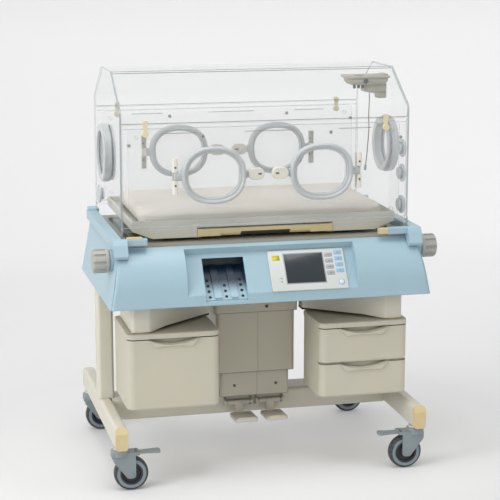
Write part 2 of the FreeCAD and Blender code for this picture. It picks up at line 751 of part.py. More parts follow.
def pedal(centre_x):
    """A sloping tread, hollow below, with its hub on the pin in the crossbar's front ears."""
    pivot_y = PEDAL_PIVOT_Y
    pivot_z = PEDAL_PIVOT_Z
    front_y = pivot_y - PEDAL_REACH
    front_z = pivot_z - PEDAL_DROP
    left = centre_x - PEDAL_WIDTH / 2
    right = centre_x + PEDAL_WIDTH / 2
    hub = PEDAL_HUB_RADIUS
    thick = PEDAL_THICK
    top = [(pivot_y, pivot_z + hub), (pivot_y - hub, pivot_z + hub / 2), (front_y, front_z + thick),
           (front_y, front_z), (pivot_y - hub, pivot_z - thick), (pivot_y, pivot_z - hub),
           (pivot_y + hub, pivot_z)]
    body = prism("x", top, [hub / 4, hub / 2, thick / 3, thick / 3, hub / 4, hub / 4, hub / 4], left, right)
    wall = PEDAL_WALL
    under = [(front_y + wall, front_z - wall), (front_y + wall, front_z + thick - wall),
             (pivot_y - hub * 2, pivot_z - wall), (pivot_y - hub * 2, front_z - wall)]
    relief = prism("x", under, 0, left + wall, right - wall)
    bore = rod("x", (pivot_y, pivot_z), PEDAL_PIN_RADIUS + PIN_GAP, left - 1, right + 1)
    return body.cut(relief).cut(bore)


def pedal_bracket(centre_x):
    """Two ears on the crossbar's front and the pin through a pedal."""
    hub = PEDAL_HUB_RADIUS
    crossbar_y = -CROSSBAR_DEPTH / 2
    profile = [(crossbar_y, PEDAL_PIVOT_Z - PEDAL_EAR_HALF), (crossbar_y, PEDAL_PIVOT_Z + PEDAL_EAR_HALF),
               (PEDAL_PIVOT_Y - hub, PEDAL_PIVOT_Z + hub), (PEDAL_PIVOT_Y - hub, PEDAL_PIVOT_Z - hub)]
    ears = []
    for side in SIDES:
        inner = centre_x + side * (PEDAL_WIDTH / 2 + GAP)
        low, high = sorted((inner, inner + side * LUG_THICK))
        ears.append(prism("x", profile, [0, 0, hub * 0.75, hub * 0.75], low, high))
    reach = PEDAL_WIDTH / 2 + GAP + LUG_THICK
    pin = rod("x", (PEDAL_PIVOT_Y, PEDAL_PIVOT_Z), PEDAL_PIN_RADIUS, centre_x - reach, centre_x + reach)
    return ears[0].fuse([ears[1], pin]).removeSplitter()


def build_pedals():
    for node, centre in PEDAL_CENTRES.items():
        export(node, pedal(centre))


# Casters

def wheel(centre_x, centre_y):
    """A dished hub inside a rounded tyre."""
    half = WHEEL_WIDTH / 2
    rim = HUB_RADIUS - HUB_RIM
    bore = AXLE_RADIUS + PIN_GAP
    tyre_profile = [(HUB_RADIUS, -half), (WHEEL_RADIUS, -half), (WHEEL_RADIUS, half), (HUB_RADIUS, half)]
    one_side = [(HUB_RADIUS, half), (rim + 2, half), (rim, half - HUB_DISH),
                (HUB_BOSS_RADIUS + 4, half - HUB_DISH),
                (HUB_BOSS_RADIUS, half), (bore, half)]
    hub_profile = one_side + [(radius, -across) for radius, across in reversed(one_side)]
    solids = []
    for profile, radii in ((tyre_profile, [0, TREAD_ROUND, TREAD_ROUND, 0]), (hub_profile, 0)):
        face = Part.Face(outline(profile, radii))
        solid = face.revolve(Vector(), Vector(0, 1, 0), 360)
        solid.translate(Vector(centre_x, centre_y, WHEEL_RADIUS))
        solids.append(solid)
    return solids


def fork(side_x, side_y):
    """The swivelling dome with two tapering arms, and the axle bolt through them."""
    x = side_x * CASTER_X
    y = side_y * CASTER_Y
    axle_x = x - side_x * CASTER_TRAIL
    arm_inner = WHEEL_WIDTH / 2 + FORK_GAP
    arm_outer = arm_inner + FORK_WALL
    dome_top = CASTER_HEIGHT - STEM_FLANGE_HEIGHT - GAP
    dome_bottom = WHEEL_RADIUS * 2 + WHEEL_HEADROOM
    bridge_top = dome_top - FORK_BRIDGE_DROP
    toe = FORK_TOE
    dome = rod("z", (x, y), FORK_DOME_RADIUS, dome_bottom, dome_top)
    dome = dome.makeFillet(DOME_ROUND, [edge for edge in dome.Edges if edge.BoundBox.ZMin > dome_top - 0.1])
    tail = axle_x - side_x * toe
    bridge = block(min(x, tail), max(x, tail), y - arm_outer, y + arm_outer, dome_bottom, bridge_top)
    heel = x + side_x * (FORK_DOME_RADIUS - DOME_ROUND)
    profile = [(tail, bridge_top), (heel, bridge_top), (heel, dome_bottom - toe),
               (axle_x + side_x * toe, WHEEL_RADIUS - toe), (tail, WHEEL_RADIUS - toe)]
    arms = []
    for side in SIDES:
        low, high = sorted((y + side * arm_inner, y + side * arm_outer))
        arms.append(prism("y", profile, [toe / 3, toe / 3, toe, toe * 0.8, toe * 0.8], low, high))
    axle_half = arm_outer + FORK_GAP * 2
    axle = rod("y", (axle_x, WHEEL_RADIUS), AXLE_RADIUS, y - axle_half, y + axle_half)
    body = dome.fuse([bridge, *arms, axle])
    if side_y < 0:
        body = body.fuse(brake_pin(side_x, arm_outer))
    bore = rod("z", (x, y), STEM_RADIUS + PIN_GAP, dome_top - STEM_LENGTH, dome_top + 1)
    return body.cut(bore).removeSplitter()


def brake_pin(side_x, arm_outer):
    """Two ears in line with a front fork's arms, and the brake lever's pin between them."""
    hinge_x = side_x * (CASTER_X - CASTER_TRAIL - BRAKE_OFFSET)
    root_x = side_x * (CASTER_X - CASTER_TRAIL - BRAKE_EAR_RADIUS)
    ears = []
    for side in SIDES:
        low, high = sorted((-CASTER_Y + side * (arm_outer - FORK_WALL), -CASTER_Y + side * arm_outer))
        ears.append(block(min(hinge_x, root_x), max(hinge_x, root_x), low, high,
                          BRAKE_PIN_Z - BRAKE_EAR_RADIUS, BRAKE_PIN_Z + BRAKE_EAR_RADIUS))
        ears.append(rod("y", (hinge_x, BRAKE_PIN_Z), BRAKE_EAR_RADIUS, low, high))
    pin = rod("y", (hinge_x, BRAKE_PIN_Z), BRAKE_PIN_RADIUS, -CASTER_Y - arm_outer, -CASTER_Y + arm_outer)
    return ears[0].fuse([*ears[1:], pin])


def brake_lever(side_x):
    """The flat pedal over a front wheel, with a broad tip and a bored hub on its pin."""
    hinge_x = side_x * (CASTER_X - CASTER_TRAIL - BRAKE_OFFSET)
    tip_x = hinge_x - side_x * BRAKE_LEVER_LENGTH
    waist_x = hinge_x - side_x * BRAKE_WAIST_REACH
    half = BRAKE_LEVER_WIDTH / 2
    waist = BRAKE_WAIST / 2
    low_z = BRAKE_PIN_Z - BRAKE_THICK / 2
    plan = [(hinge_x, -CASTER_Y - waist), (waist_x, -CASTER_Y - waist), (tip_x, -CASTER_Y - half),
            (tip_x, -CASTER_Y + half), (waist_x, -CASTER_Y + waist), (hinge_x, -CASTER_Y + waist)]
    plate = prism("z", plan, [0, half * 0.8, half / 2, half / 2, half * 0.8, 0], low_z, low_z + BRAKE_THICK)
    pin = (hinge_x, BRAKE_PIN_Z)
    hub = rod("y", pin, BRAKE_HUB_RADIUS, -CASTER_Y - waist, -CASTER_Y + waist)
    bore = rod("y", pin, BRAKE_PIN_RADIUS + PIN_GAP, -CASTER_Y - half, -CASTER_Y + half)
    return plate.fuse(hub).cut(bore).removeSplitter()


def build_casters():
    names = {(-1, -1): "front_left", (1, -1): "front_right", (-1, 1): "back_left", (1, 1): "back_right"}
    for (side_x, side_y), name in names.items():
        export("caster_fork_" + name, fork(side_x, side_y))
        if side_y < 0:
            export("brake_lever" + name.removeprefix("front"), brake_lever(side_x))
        axle_x = side_x * (CASTER_X - CASTER_TRAIL)
        export("caster_wheel_" + name, *wheel(axle_x, side_y * CASTER_Y))


# Blue base housing

def shell_block(inset, bottom, top_inset):
    """Return the housing's solid form, drawn in by the inset on every side.

    Its side view has a nearly upright lower front and a curved upper one, and its ends lean inwards.
    """
    top = SHELL_TOP - top_inset
    lean = (SHELL_HALF_BOTTOM - SHELL_HALF_TOP) / (SHELL_TOP - SHELL_BOTTOM)
    low_half = SHELL_HALF_BOTTOM - inset - lean * (bottom - SHELL_BOTTOM)
    high_half = SHELL_HALF_TOP - inset + lean * top_inset
    front = SHELL_FRONT - inset
    corners = [Vector(0, -front, bottom), Vector(0, SHELL_BACK - inset, bottom),
               Vector(0, SHELL_BACK_TOP - inset, top), Vector(0, inset - SHELL_FRONT_TOP, top),
               Vector(0, inset - SHELL_KNEE, SHELL_KNEE_Z)]
    belly = Vector(0, inset - SHELL_BELLY, SHELL_BELLY_Z)
    edges = [Part.makeLine(corners[0], corners[1]), Part.makeLine(corners[1], corners[2]),
             Part.makeLine(corners[2], corners[3]), Part.Arc(corners[3], belly, corners[4]).toShape(),
             Part.makeLine(corners[4], corners[0])]
    side_view = Part.Face(Part.Wire(edges))
    side_view.translate(Vector(-SHELL_HALF_BOTTOM * 1.1, 0, 0))
    bar = side_view.extrude(Vector(SHELL_HALF_BOTTOM * 2.2, 0, 0))
    ends = [(-low_half, bottom), (low_half, bottom), (high_half, top), (-high_half, top)]
    return bar.common(prism("y", ends, 0, -SHELL_FRONT * 1.1, SHELL_FRONT * 1.1))


def recess_block(grow):
    """Return the wedge cut out of the housing's front, grown by a wall for its lining."""
    away = SHELL_FRONT * 1.2
    profile = [(-RECESS_FOOT + grow, RECESS_FOOT_Z - grow),
               (-RECESS_HEAD + grow, RECESS_HEAD_Z + grow * 0.2),
               (-RECESS_LIP + grow, RECESS_LIP_Z + grow), (-away, RECESS_LIP_Z + grow),
               (-away, RECESS_FOOT_Z - grow)]
    return prism("x", profile, 0, -RECESS_HALF - grow, RECESS_HALF + grow)


def dock_block(grow):
    """Return the pocket for the sensor plugs, whose floor slopes down to the front."""
    away = SHELL_FRONT * 1.2
    profile = [(-away, DOCK_BOTTOM_Z - grow), (-SHELL_FRONT + 4, DOCK_BOTTOM_Z - grow),
               (-DOCK_FLOOR_BACK + grow, DOCK_FLOOR_BACK_Z - grow),
               (-DOCK_FLOOR_BACK + grow, DOCK_TOP_Z + grow), (-away, DOCK_TOP_Z + grow)]
    return prism("x", profile, 0, DOCK_LEFT - grow, DOCK_RIGHT + grow)


def base_shell():
    """The open moulded housing with its recess and its sensor pocket."""
    outer = shell_block(0, SHELL_BOTTOM, 0)
    corner_edges = []
    for edge in outer.Edges:
        box = edge.BoundBox
        if box.ZLength > KNEE_HEIGHT / 2 and abs(box.Center.x) > SHELL_HALF_TOP:
            corner_edges.append(edge)
    outer = outer.makeFillet(SHELL_EDGE, corner_edges)
    cavity = shell_block(SHELL_WALL, SHELL_BOTTOM - 1, SHELL_WALL)
    cavity = cavity.cut(recess_block(SHELL_WALL)).cut(dock_block(SHELL_WALL))
    mouth = block(-SHELL_HALF_TOP + SHELL_RIM, SHELL_HALF_TOP - SHELL_RIM, -SHELL_FRONT_TOP + SHELL_RIM,
                  SHELL_BACK_TOP - SHELL_RIM, SHELL_TOP - SHELL_WALL * 2, SHELL_TOP + 1)
    shell = outer.cut(cavity).cut(recess_block(0)).cut(dock_block(0))
    return shell.cut(mouth).cut(knob_hole(1)).cut(knob_hole(-1))


def knob_hole(side):
    centre = (KNOB_Y, KNOB_Z)
    start, end = sorted((side * SHELL_HALF_TOP * 0.9, side * KNOB_FACE_X))
    return rod("x", centre, KNOB_SHAFT_RADIUS + 2, start, end)


def on_recess(share, lift):
    """Return (y, z) at a share of the recess's height, lifted off its face."""
    run = RECESS_FOOT - RECESS_HEAD
    rise = RECESS_HEAD_Z - RECESS_FOOT_Z
    length = math.hypot(run, rise)
    y = -RECESS_FOOT + run * share - rise / length * lift
    z = RECESS_FOOT_Z + rise * share + run / length * lift
    return y, z


def recess_plate(left, right, foot, head, thick, corner):
    """Return a plate on the recess's face between two heights, measured up its slope."""
    height = math.hypot(RECESS_FOOT - RECESS_HEAD, RECESS_HEAD_Z - RECESS_FOOT_Z)
    tilt = math.degrees(math.atan2(RECESS_HEAD_Z - RECESS_FOOT_Z, RECESS_FOOT - RECESS_HEAD))
    plate = prism("z", rectangle(left, right, foot, height - head), corner, 0, thick)
    plate.rotate(Vector(), Vector(1, 0, 0), tilt)
    plate.translate(Vector(0, -RECESS_FOOT, RECESS_FOOT_Z))
    return plate


def control_panel():
    """The pale bezel, pocketed for its screen, and the screen's glass."""
    margin = PANEL_MARGIN
    bezel = recess_plate(PANEL_LEFT, PANEL_RIGHT, margin, margin, PANEL_THICK, 3)
    window = recess_plate(SCREEN_LEFT, SCREEN_RIGHT, SCREEN_FOOT, SCREEN_HEAD, PANEL_THICK + 1, 0)
    glass = recess_plate(SCREEN_LEFT, SCREEN_RIGHT, SCREEN_FOOT, SCREEN_HEAD, PANEL_THICK - 1, 0)
    return bezel.cut(window), glass


def keypad():
    """Four grey keys, four blue keys and the round one below them."""
    height = math.hypot(RECESS_FOOT - RECESS_HEAD, RECESS_HEAD_Z - RECESS_FOOT_Z)
    keys = []
    for column in range(2):
        left = SCREEN_RIGHT + KEY_GAP + column * (KEY_WIDTH + KEY_GAP)
        for row in range(KEY_ROWS):
            top = SCREEN_HEAD - KEY_STEP * column + row * KEY_PITCH
            keys.append(recess_plate(left, left + KEY_WIDTH, height - top - KEY_HEIGHT, top, KEY_THICK, 2))
    centre_x = left + KEY_WIDTH / 2
    radius = ROUND_KEY_RADIUS
    low = ROUND_KEY_FOOT
    keys.append(recess_plate(centre_x - radius, centre_x + radius, low, height - low - radius * 2,
                             KEY_THICK, radius * 0.98))
    y0, z0 = on_recess(0, PANEL_THICK)
    lift = Vector(0, y0 + RECESS_FOOT, z0 - RECESS_FOOT_Z)
    for key in keys:
        key.translate(lift)
    return keys


def sensor_dock():
    """The pocket's floor insert: two raised ribs and rows of round plug sockets."""
    run = (SHELL_FRONT - 4) - DOCK_FLOOR_BACK
    rise = DOCK_FLOOR_BACK_Z - DOCK_BOTTOM_Z
    length = math.hypot(run, rise)
    width = DOCK_RIGHT - DOCK_LEFT - GAP * 2
    thick = DOCK_INSERT_THICK
    margin = DOCK_MARGIN
    floor = upright(0, width, margin, length - margin, 0, thick, 2)
    lane = (width - DOCK_RIB_WIDTH * (DOCK_LANES - 1)) / DOCK_LANES
    ribs = []
    sockets = []
    for index in range(DOCK_LANES):
        start = index * (lane + DOCK_RIB_WIDTH)
        for row in range(4 - index % 2):
            centre = (start + lane / 2, SOCKET_FOOT + row * SOCKET_PITCH)
            sockets.append(rod("z", centre, SOCKET_RADIUS, thick, thick + SOCKET_PROUD))
        if index:
            ribs.append(upright(start - DOCK_RIB_WIDTH, start, margin * 2, length - margin * 2, thick / 2,
                                thick + DOCK_RIB_HEIGHT, 2))
    solids = [floor.fuse(ribs).removeSplitter(), *sockets]
    for solid in solids:
        solid.rotate(Vector(), Vector(1, 0, 0), math.degrees(math.atan2(rise, run)))
        solid.translate(Vector(DOCK_LEFT + GAP, -SHELL_FRONT + 4, DOCK_BOTTOM_Z + GAP))
    return solids


def chassis_pan():
    """The load plate inside the housing, with the standoffs that carry the deck."""
    plate = upright(-PAN_HALF, PAN_HALF, -PAN_FRONT, PAN_BACK, PAN_BOTTOM, PAN_BOTTOM + PAN_THICK, 12)
    standoffs = []
    for side_x in SIDES:
        for y in (-WELL_DEPTH_HALF - STANDOFF_INSET, WELL_DEPTH_HALF + STANDOFF_INSET):
            x = side_x * (WELL_HALF + STANDOFF_INSET)
            standoffs.append(rod("z", (x, y), STANDOFF_RADIUS, PAN_BOTTOM, SHELL_TOP))
    return plate.cut(dock_block(SHELL_WALL + GAP)).fuse(standoffs).removeSplitter()


def deck():
    """The pale deck under the hood: a flat rim with air slots round a sunken well."""
    rim = upright(-DECK_HALF, DECK_HALF, -DECK_FRONT, DECK_BACK, SHELL_TOP, DECK_TOP, 6)
    wall = WELL_WALL
    tub = upright(-WELL_HALF - wall, WELL_HALF + wall, -WELL_DEPTH_HALF - wall, WELL_DEPTH_HALF + wall,
                  WELL_FLOOR_Z - wall, DECK_TOP, 16)
    hollow = upright(-WELL_HALF, WELL_HALF, -WELL_DEPTH_HALF, WELL_DEPTH_HALF, WELL_FLOOR_Z,
                     DECK_TOP + 1, 13)
    body = rim.fuse(tub).cut(hollow)
    slots = []
    for index in range(AIR_SLOT_COUNT):
        x = (index - (AIR_SLOT_COUNT - 1) / 2) * AIR_SLOT_PITCH
        for side in SIDES:
            y = side * AIR_SLOT_Y
            slots.append(block(x - AIR_SLOT_LENGTH / 2, x + AIR_SLOT_LENGTH / 2, y - AIR_SLOT_WIDTH / 2,
                               y + AIR_SLOT_WIDTH / 2, SHELL_TOP - 1, DECK_TOP + 1))
    lugs = [bed_lug(-BED_PIVOT_X, side, WELL_FLOOR_Z) for side in SIDES]
    return body.cut(Part.makeCompound(slots)).fuse(lugs).removeSplitter()


def bed_lug(x, side, bottom):
    """A lug outside the bed frame's bar, with a pin that reaches into the bar."""
    inner = side * (FRAME_DEPTH_HALF + GAP)
    outer = side * (FRAME_DEPTH_HALF + GAP + LUG_THICK)
    low, high = sorted((inner, outer))
    z = (FRAME_BOTTOM + FRAME_TOP) / 2
    profile = [(x - LUG_FOOT, bottom), (x + LUG_FOOT, bottom), (x + LUG_TIP, z + LUG_TIP),
               (x - LUG_TIP, z + LUG_TIP)]
    ear = prism("y", profile, [0, 0, LUG_TIP - 1, LUG_TIP - 1], low, high)
    pin_low, pin_high = sorted((outer, side * (FRAME_DEPTH_HALF - FRAME_BAR * 0.7)))
    return ear.fuse(rod("y", (x, z), BED_PIVOT_RADIUS, pin_low, pin_high))


def pivot_pad(side):
    """The bearing disc between a hanger and its pod, and the pin through it."""
    centre = (side * PIVOT_X, PIVOT_Y)
    pad = rod("z", centre, PIVOT_PAD_RADIUS, POD_LID_TOP + GAP, HANGER_BOTTOM)
    pin = rod("z", centre, PIVOT_RADIUS, POD_LID_TOP - POD_LID_THICK - 6, HANGER_BOTTOM)
    return pad.fuse(pin).removeSplitter()


def hanger():
    """The wedge shaped block that carries a pod at its front outer corner."""
    plan = [(HANGER_LEFT, -HANGER_FRONT), (HANGER_NOSE, -HANGER_FRONT), (HANGER_INNER, -HANGER_INNER_Y),
            (HANGER_INNER, -HANGER_BACK), (HANGER_LEFT, -HANGER_BACK)]
    body = prism("z", plan, [10, 14, 6, 4, 4], HANGER_BOTTOM, PAN_BOTTOM)
    wall = HANGER_WALL
    inside = [(HANGER_LEFT - wall, -HANGER_FRONT + wall), (HANGER_NOSE + 1, -HANGER_FRONT + wall),
              (HANGER_INNER + wall, -HANGER_INNER_Y + wall), (HANGER_INNER + wall, -HANGER_BACK - wall),
              (HANGER_LEFT - wall, -HANGER_BACK - wall)]
    return body.cut(prism("z", inside, [6, 10, 2, 2, 2], HANGER_BOTTOM + HANGER_FLOOR, PAN_BOTTOM + 1))


def end_rail():
    """The rail on the housing's right end, with the tab over its front and the inward arm."""
    side_view = [(RAIL_BACK, SHELL_TOP), (RAIL_BACK, RAIL_TOP), (-RAIL_FRONT + 10, RAIL_TOP),
                 (-RAIL_FRONT, RAIL_TOP - 14), (-RAIL_FRONT - 14, RAIL_TAB_BOTTOM + 8),
                 (-RAIL_FRONT - 8, RAIL_TAB_BOTTOM), (-SHELL_FRONT_TOP - 34, RAIL_TAB_BOTTOM),
                 (-SHELL_FRONT_TOP - 6, SHELL_TOP)]
    rail = prism("x", side_view, [0, 10, 8, 8, 4, 3, 0, 0], RAIL_INNER, RAIL_OUTER)
    tab_view = side_view[2:7] + [(-SHELL_FRONT_TOP - 6, SHELL_TOP), (-SHELL_FRONT_TOP - 6, RAIL_TOP)]
    tab = prism("x", tab_view, [8, 8, 4, 3, 0, 0, 0], RAIL_TAB_INNER, RAIL_INNER)
    arm_back = ARM_FRONT - ARM_DEPTH
    arm = prism("x", rectangle(-ARM_FRONT, -arm_back, ARM_BOTTOM, RAIL_TOP), 3, ARM_END, RAIL_TAB_INNER + 1)
    boss = rod("x", HOOD_PIVOT, HOOD_PIVOT_RADIUS * 2, RAIL_INNER, RAIL_OUTER)
    pin = rod("x", HOOD_PIVOT, HOOD_PIVOT_RADIUS, HOOD_HALF - END_WALL, RAIL_OUTER)
    return rail.fuse([tab, arm, boss, pin]).removeSplitter()


def arm_pads():
    """The cream pad on the left arm and the cream stop at the end of the right one."""
    low = -ARM_FRONT + 2
    high = -ARM_FRONT + ARM_DEPTH - 2
    left = upright(-RAIL_TAB_INNER, -ARM_END - 14, low, high, RAIL_TOP, RAIL_TOP + ARM_PAD_HEIGHT, 3)
    right = prism("x", rectangle(low, high, ARM_BOTTOM + 2, RAIL_TOP - 1), 2, ARM_END - 28, ARM_END)
    return left, right


def escutcheon():
    """The flat ring on the housing's leaning end that a knob's shaft comes out of."""
    start = SHELL_HALF_TOP - ESCUTCHEON_SINK
    ring = rod("x", (KNOB_Y, KNOB_Z), ESCUTCHEON_RADIUS, start, KNOB_FACE_X - KNOB_LENGTH - GAP)
    bore = rod("x", (KNOB_Y, KNOB_Z), KNOB_SHAFT_RADIUS + PIN_GAP, start - 1, KNOB_FACE_X)
    return ring.cut(bore).cut(shell_block(0, SHELL_BOTTOM, 0))


def tilt_knob():
    """A fluted knob on a shaft that runs into the housing."""
    back_x = KNOB_FACE_X - KNOB_LENGTH
    body = rod("x", (KNOB_Y, KNOB_Z), KNOB_RADIUS, back_x, KNOB_FACE_X)
    rims = [edge for edge in body.Edges if edge.BoundBox.XLength < 0.1]
    body = body.makeFillet(KNOB_ROUND, rims)
    for index in range(KNOB_FLUTES):
        angle = 2 * math.pi * index / KNOB_FLUTES
        centre = (KNOB_Y + KNOB_RADIUS * math.cos(angle), KNOB_Z + KNOB_RADIUS * math.sin(angle))
        body = body.cut(rod("x", centre, KNOB_FLUTE_RADIUS, back_x + KNOB_COLLAR, KNOB_FACE_X + 1))
    shaft = rod("x", (KNOB_Y, KNOB_Z), KNOB_SHAFT_RADIUS, SHELL_HALF_TOP - KNOB_COLLAR, back_x)
    return body.fuse(shaft).removeSplitter()


def fan_motor():
    """The fan's motor on the pan, with its shaft."""
    top = PAN_BOTTOM + PAN_THICK + MOTOR_HEIGHT
    body = rod("z", (FAN_X, 0), MOTOR_RADIUS, PAN_BOTTOM + PAN_THICK, top)
    return body.fuse(rod("z", (FAN_X, 0), FAN_SHAFT_RADIUS, top, top + FAN_HEIGHT)).removeSplitter()


def fan_wheel():
    """A centrifugal wheel: a base disc, a hub and upright blades."""
    bottom = PAN_BOTTOM + PAN_THICK + MOTOR_HEIGHT + GAP
    disc = rod("z", (FAN_X, 0), FAN_RADIUS, bottom, bottom + FAN_DISC)
    hub = rod("z", (FAN_X, 0), FAN_HUB_RADIUS, bottom, bottom + FAN_HEIGHT * 0.7)
    blades = []
    for index in range(FAN_BLADES):
        half = FAN_BLADE_THICK / 2
        root = FAN_X + FAN_RADIUS * 0.7
        blade = block(root, FAN_X + FAN_RADIUS - 1, -half, half, bottom + FAN_DISC, bottom + FAN_HEIGHT)
        blade.rotate(Vector(root, 0, 0), Vector(0, 0, 1), FAN_BLADE_ANGLE)
        blade.rotate(Vector(FAN_X, 0, 0), Vector(0, 0, 1), 360 * index / FAN_BLADES)
        blades.append(blade)
    wheel_body = disc.fuse([hub, *blades])
    return wheel_body.cut(rod("z", (FAN_X, 0), FAN_SHAFT_RADIUS + PIN_GAP, bottom - 1, bottom + FAN_HEIGHT))


def heater():
    """Two straight heating rods on end blocks that stand on the pan."""
    floor = PAN_BOTTOM + PAN_THICK
    z = floor + HEATER_RISE
    solids = []
    for side in SIDES:
        centre = (side * HEATER_PITCH / 2, z)
        solids.append(rod("x", centre, HEATER_RADIUS, HEATER_X - HEATER_LENGTH, HEATER_X))
    for x in (HEATER_X - HEATER_LENGTH, HEATER_X - HEATER_BLOCK):
        solids.append(block(x, x + HEATER_BLOCK, -HEATER_PITCH, HEATER_PITCH, floor, z + HEATER_RADIUS * 2))
    return solids[0].fuse(solids[1:]).removeSplitter()


def build_base():
    export("base_shell", base_shell())
    export("chassis_frame", chassis_pan(), *both_sides(inner_post()), actuator_rod())
    export("deck", deck())
    export("upper_shroud", shroud(UPPER_SHROUD_HALF, UPPER_SHROUD_FRONT, UPPER_SHROUD_BOTTOM, PAN_BOTTOM))
    export("end_rails", *both_sides(end_rail()), *both_sides(escutcheon()))
    export("arm_pads", *arm_pads())
    export("control_panel", *control_panel(), *keypad())
    export("sensor_dock", *sensor_dock())
    export("pod_hangers", *both_sides(hanger()), *[pivot_pad(side) for side in SIDES])
    export("fan_motor_and_heater", fan_motor(), heater())
    export("fan_wheel", fan_wheel())
    knob = tilt_knob()
    export("tilt_knob_right", knob)
    export("tilt_knob_left", mirrored(knob))


# Storage pods

def pod_plan(inset):
    """Return the pod's plan on the right side; its inner back corner is cut to clear the column."""
    outer = POD_OUTER - inset
    inner = POD_INNER + inset
    back = -POD_BACK - inset
    cut = POD_CHAMFER - inset * 0.4
    return [(outer, -POD_FRONT + inset), (outer, back), (inner + cut, back), (inner, back - cut),
            (inner, -POD_FRONT + inset)]


def pod_body():
    """The open fronted case with its overhanging lid, bored for the pivot pin."""
    case_top = POD_LID_TOP - POD_LID_THICK
    front = -POD_FRONT + DRAWER_FACE
    inset = POD_REVEAL + POD_WALL
    floor = POD_BOTTOM + POD_WALL
    ceiling = case_top - POD_WALL
    case = prism("z", pod_plan(POD_REVEAL), [2, POD_CORNER, 8, 8, 2], POD_BOTTOM, case_top)
    room = prism("z", pod_plan(inset), [2, POD_CORNER - POD_WALL, 6, 6, 2], floor, ceiling)
    mouth = block(POD_INNER + inset, POD_OUTER - inset, -POD_FRONT, front + 2, floor, ceiling)
    face_room = block(POD_INNER, POD_OUTER, -POD_FRONT, front, POD_BOTTOM - 1, case_top)
    bend = POD_FRONT_ROUND
    lid = prism("z", pod_plan(0), [bend, POD_CORNER, 8, 8, bend], case_top, POD_LID_TOP)
    rims = [edge for edge in lid.Edges if edge.BoundBox.ZMin > POD_LID_TOP - 0.1]
    lid = lid.makeFillet(LID_ROUND, rims)
    body = case.cut(room).cut(mouth).cut(face_room).fuse(lid)
    bore = rod("z", (PIVOT_X, PIVOT_Y), PIVOT_RADIUS + PIN_GAP, case_top - POD_WALL * 3, POD_LID_TOP + 1)
    boss = rod("z", (PIVOT_X, PIVOT_Y), PIVOT_RADIUS + PIVOT_BOSS, case_top - POD_WALL - LID_ROUND, case_top)
    return body.fuse(boss).cut(bore).removeSplitter()


def scoop(top):
    """Return the hand grip cut into a drawer face's top edge, curved like a shallow smile."""
    centre = (POD_INNER + POD_OUTER) / 2
    low = Vector(centre, 0, top - SCOOP_DEPTH)
    left = Vector(centre - SCOOP_HALF, 0, top)
    right = Vector(centre + SCOOP_HALF, 0, top)
    curve = Part.Arc(left, low, right).toShape()
    lid = Part.Wire([curve, Part.makeLine(right, left)])
    cut = Part.Face(lid).extrude(Vector(0, DRAWER_FACE * 2, 0))
    cut.translate(Vector(0, -POD_FRONT - DRAWER_FACE, 0))
    return cut


def drawer_face(bottom, top):
    """The moulded face: rounded at its sides and foot, scooped at its head, with a lip round the scoop."""
    front = -POD_FRONT
    bend = POD_FRONT_ROUND - POD_REVEAL
    plan = rectangle(POD_INNER + POD_REVEAL, POD_OUTER - POD_REVEAL, front, front + DRAWER_FACE - GAP)
    face = prism("z", plan, [bend, bend, 0, 0], bottom + GAP, top - GAP)
    reach = front + bend + GAP
    foot = [edge for edge in face.Edges if edge.BoundBox.ZMax < bottom + 1 and edge.BoundBox.YMax < reach]
    face = face.makeFillet(DRAWER_SWEEP, foot)
    head = [edge for edge in face.Edges if edge.BoundBox.ZMin > top - 1 and edge.BoundBox.YMax < reach]
    face = face.makeFillet(DRAWER_EDGE, head)
    centre = (POD_INNER + POD_OUTER) / 2
    lower = [(-LIP_HALF, top - 1), (-LIP_LOBE, top - LIP_LOBE_DROP), (-LIP_MIDDLE, top - LIP_MIDDLE_DROP)]
    corners = [(centre + x, z) for x, z in lower] + [(centre - x, z) for x, z in reversed(lower)]
    lip = prism("y", corners, [0, 12, 12, 12, 12, 0], front - LIP_OUT, front + 1)
    rims = [edge for edge in lip.Edges if edge.BoundBox.YMax < front - LIP_OUT + 0.1]
    rims = [edge for edge in rims if edge.BoundBox.ZMax < top - LIP_ROUND]
    return face.fuse(lip.makeFillet(LIP_ROUND, rims)).cut(scoop(top))


def drawer(bottom, top, seat):
    """A tray that slides on its seat, behind its moulded face."""
    left = POD_INNER + POD_REVEAL + POD_WALL + SLIDE_GAP
    right = POD_OUTER - POD_REVEAL - POD_WALL - SLIDE_GAP
    back = -POD_BACK - POD_CHAMFER - DRAWER_EDGE
    front = -POD_FRONT + DRAWER_FACE
    tray_top = top - DRAWER_ROOM
    floor = seat + GAP
    wall = DRAWER_WALL
    box = upright(left, right, front - 1, back, floor, tray_top, 5)
    room = upright(left + wall, right - wall, front + wall, back - wall, floor + wall, tray_top + 1, 4)
    return box.cut(room).fuse(drawer_face(bottom, top)).removeSplitter()


def build_pods():
    case_top = POD_LID_TOP - POD_LID_THICK
    right = pod_body()
    inset = POD_REVEAL + POD_WALL
    half = SHELF_THICK / 2
    shelf = block(POD_INNER + inset, POD_OUTER - inset, -POD_FRONT + DRAWER_FACE, -POD_BACK - POD_CHAMFER,
                  DRAWER_SPLIT_Z - half, DRAWER_SPLIT_Z + half)
    export("pod_left", mirrored(right))
    export("pod_right", right.fuse(shelf).removeSplitter())
    seat = POD_BOTTOM + POD_WALL
    export("drawer_left", mirrored(drawer(POD_BOTTOM, case_top, seat)))
    export("drawer_right_lower", drawer(POD_BOTTOM, DRAWER_SPLIT_Z, seat))
    export("drawer_right_upper", drawer(DRAWER_SPLIT_Z, case_top, DRAWER_SPLIT_Z + SHELF_THICK / 2))


# Bed

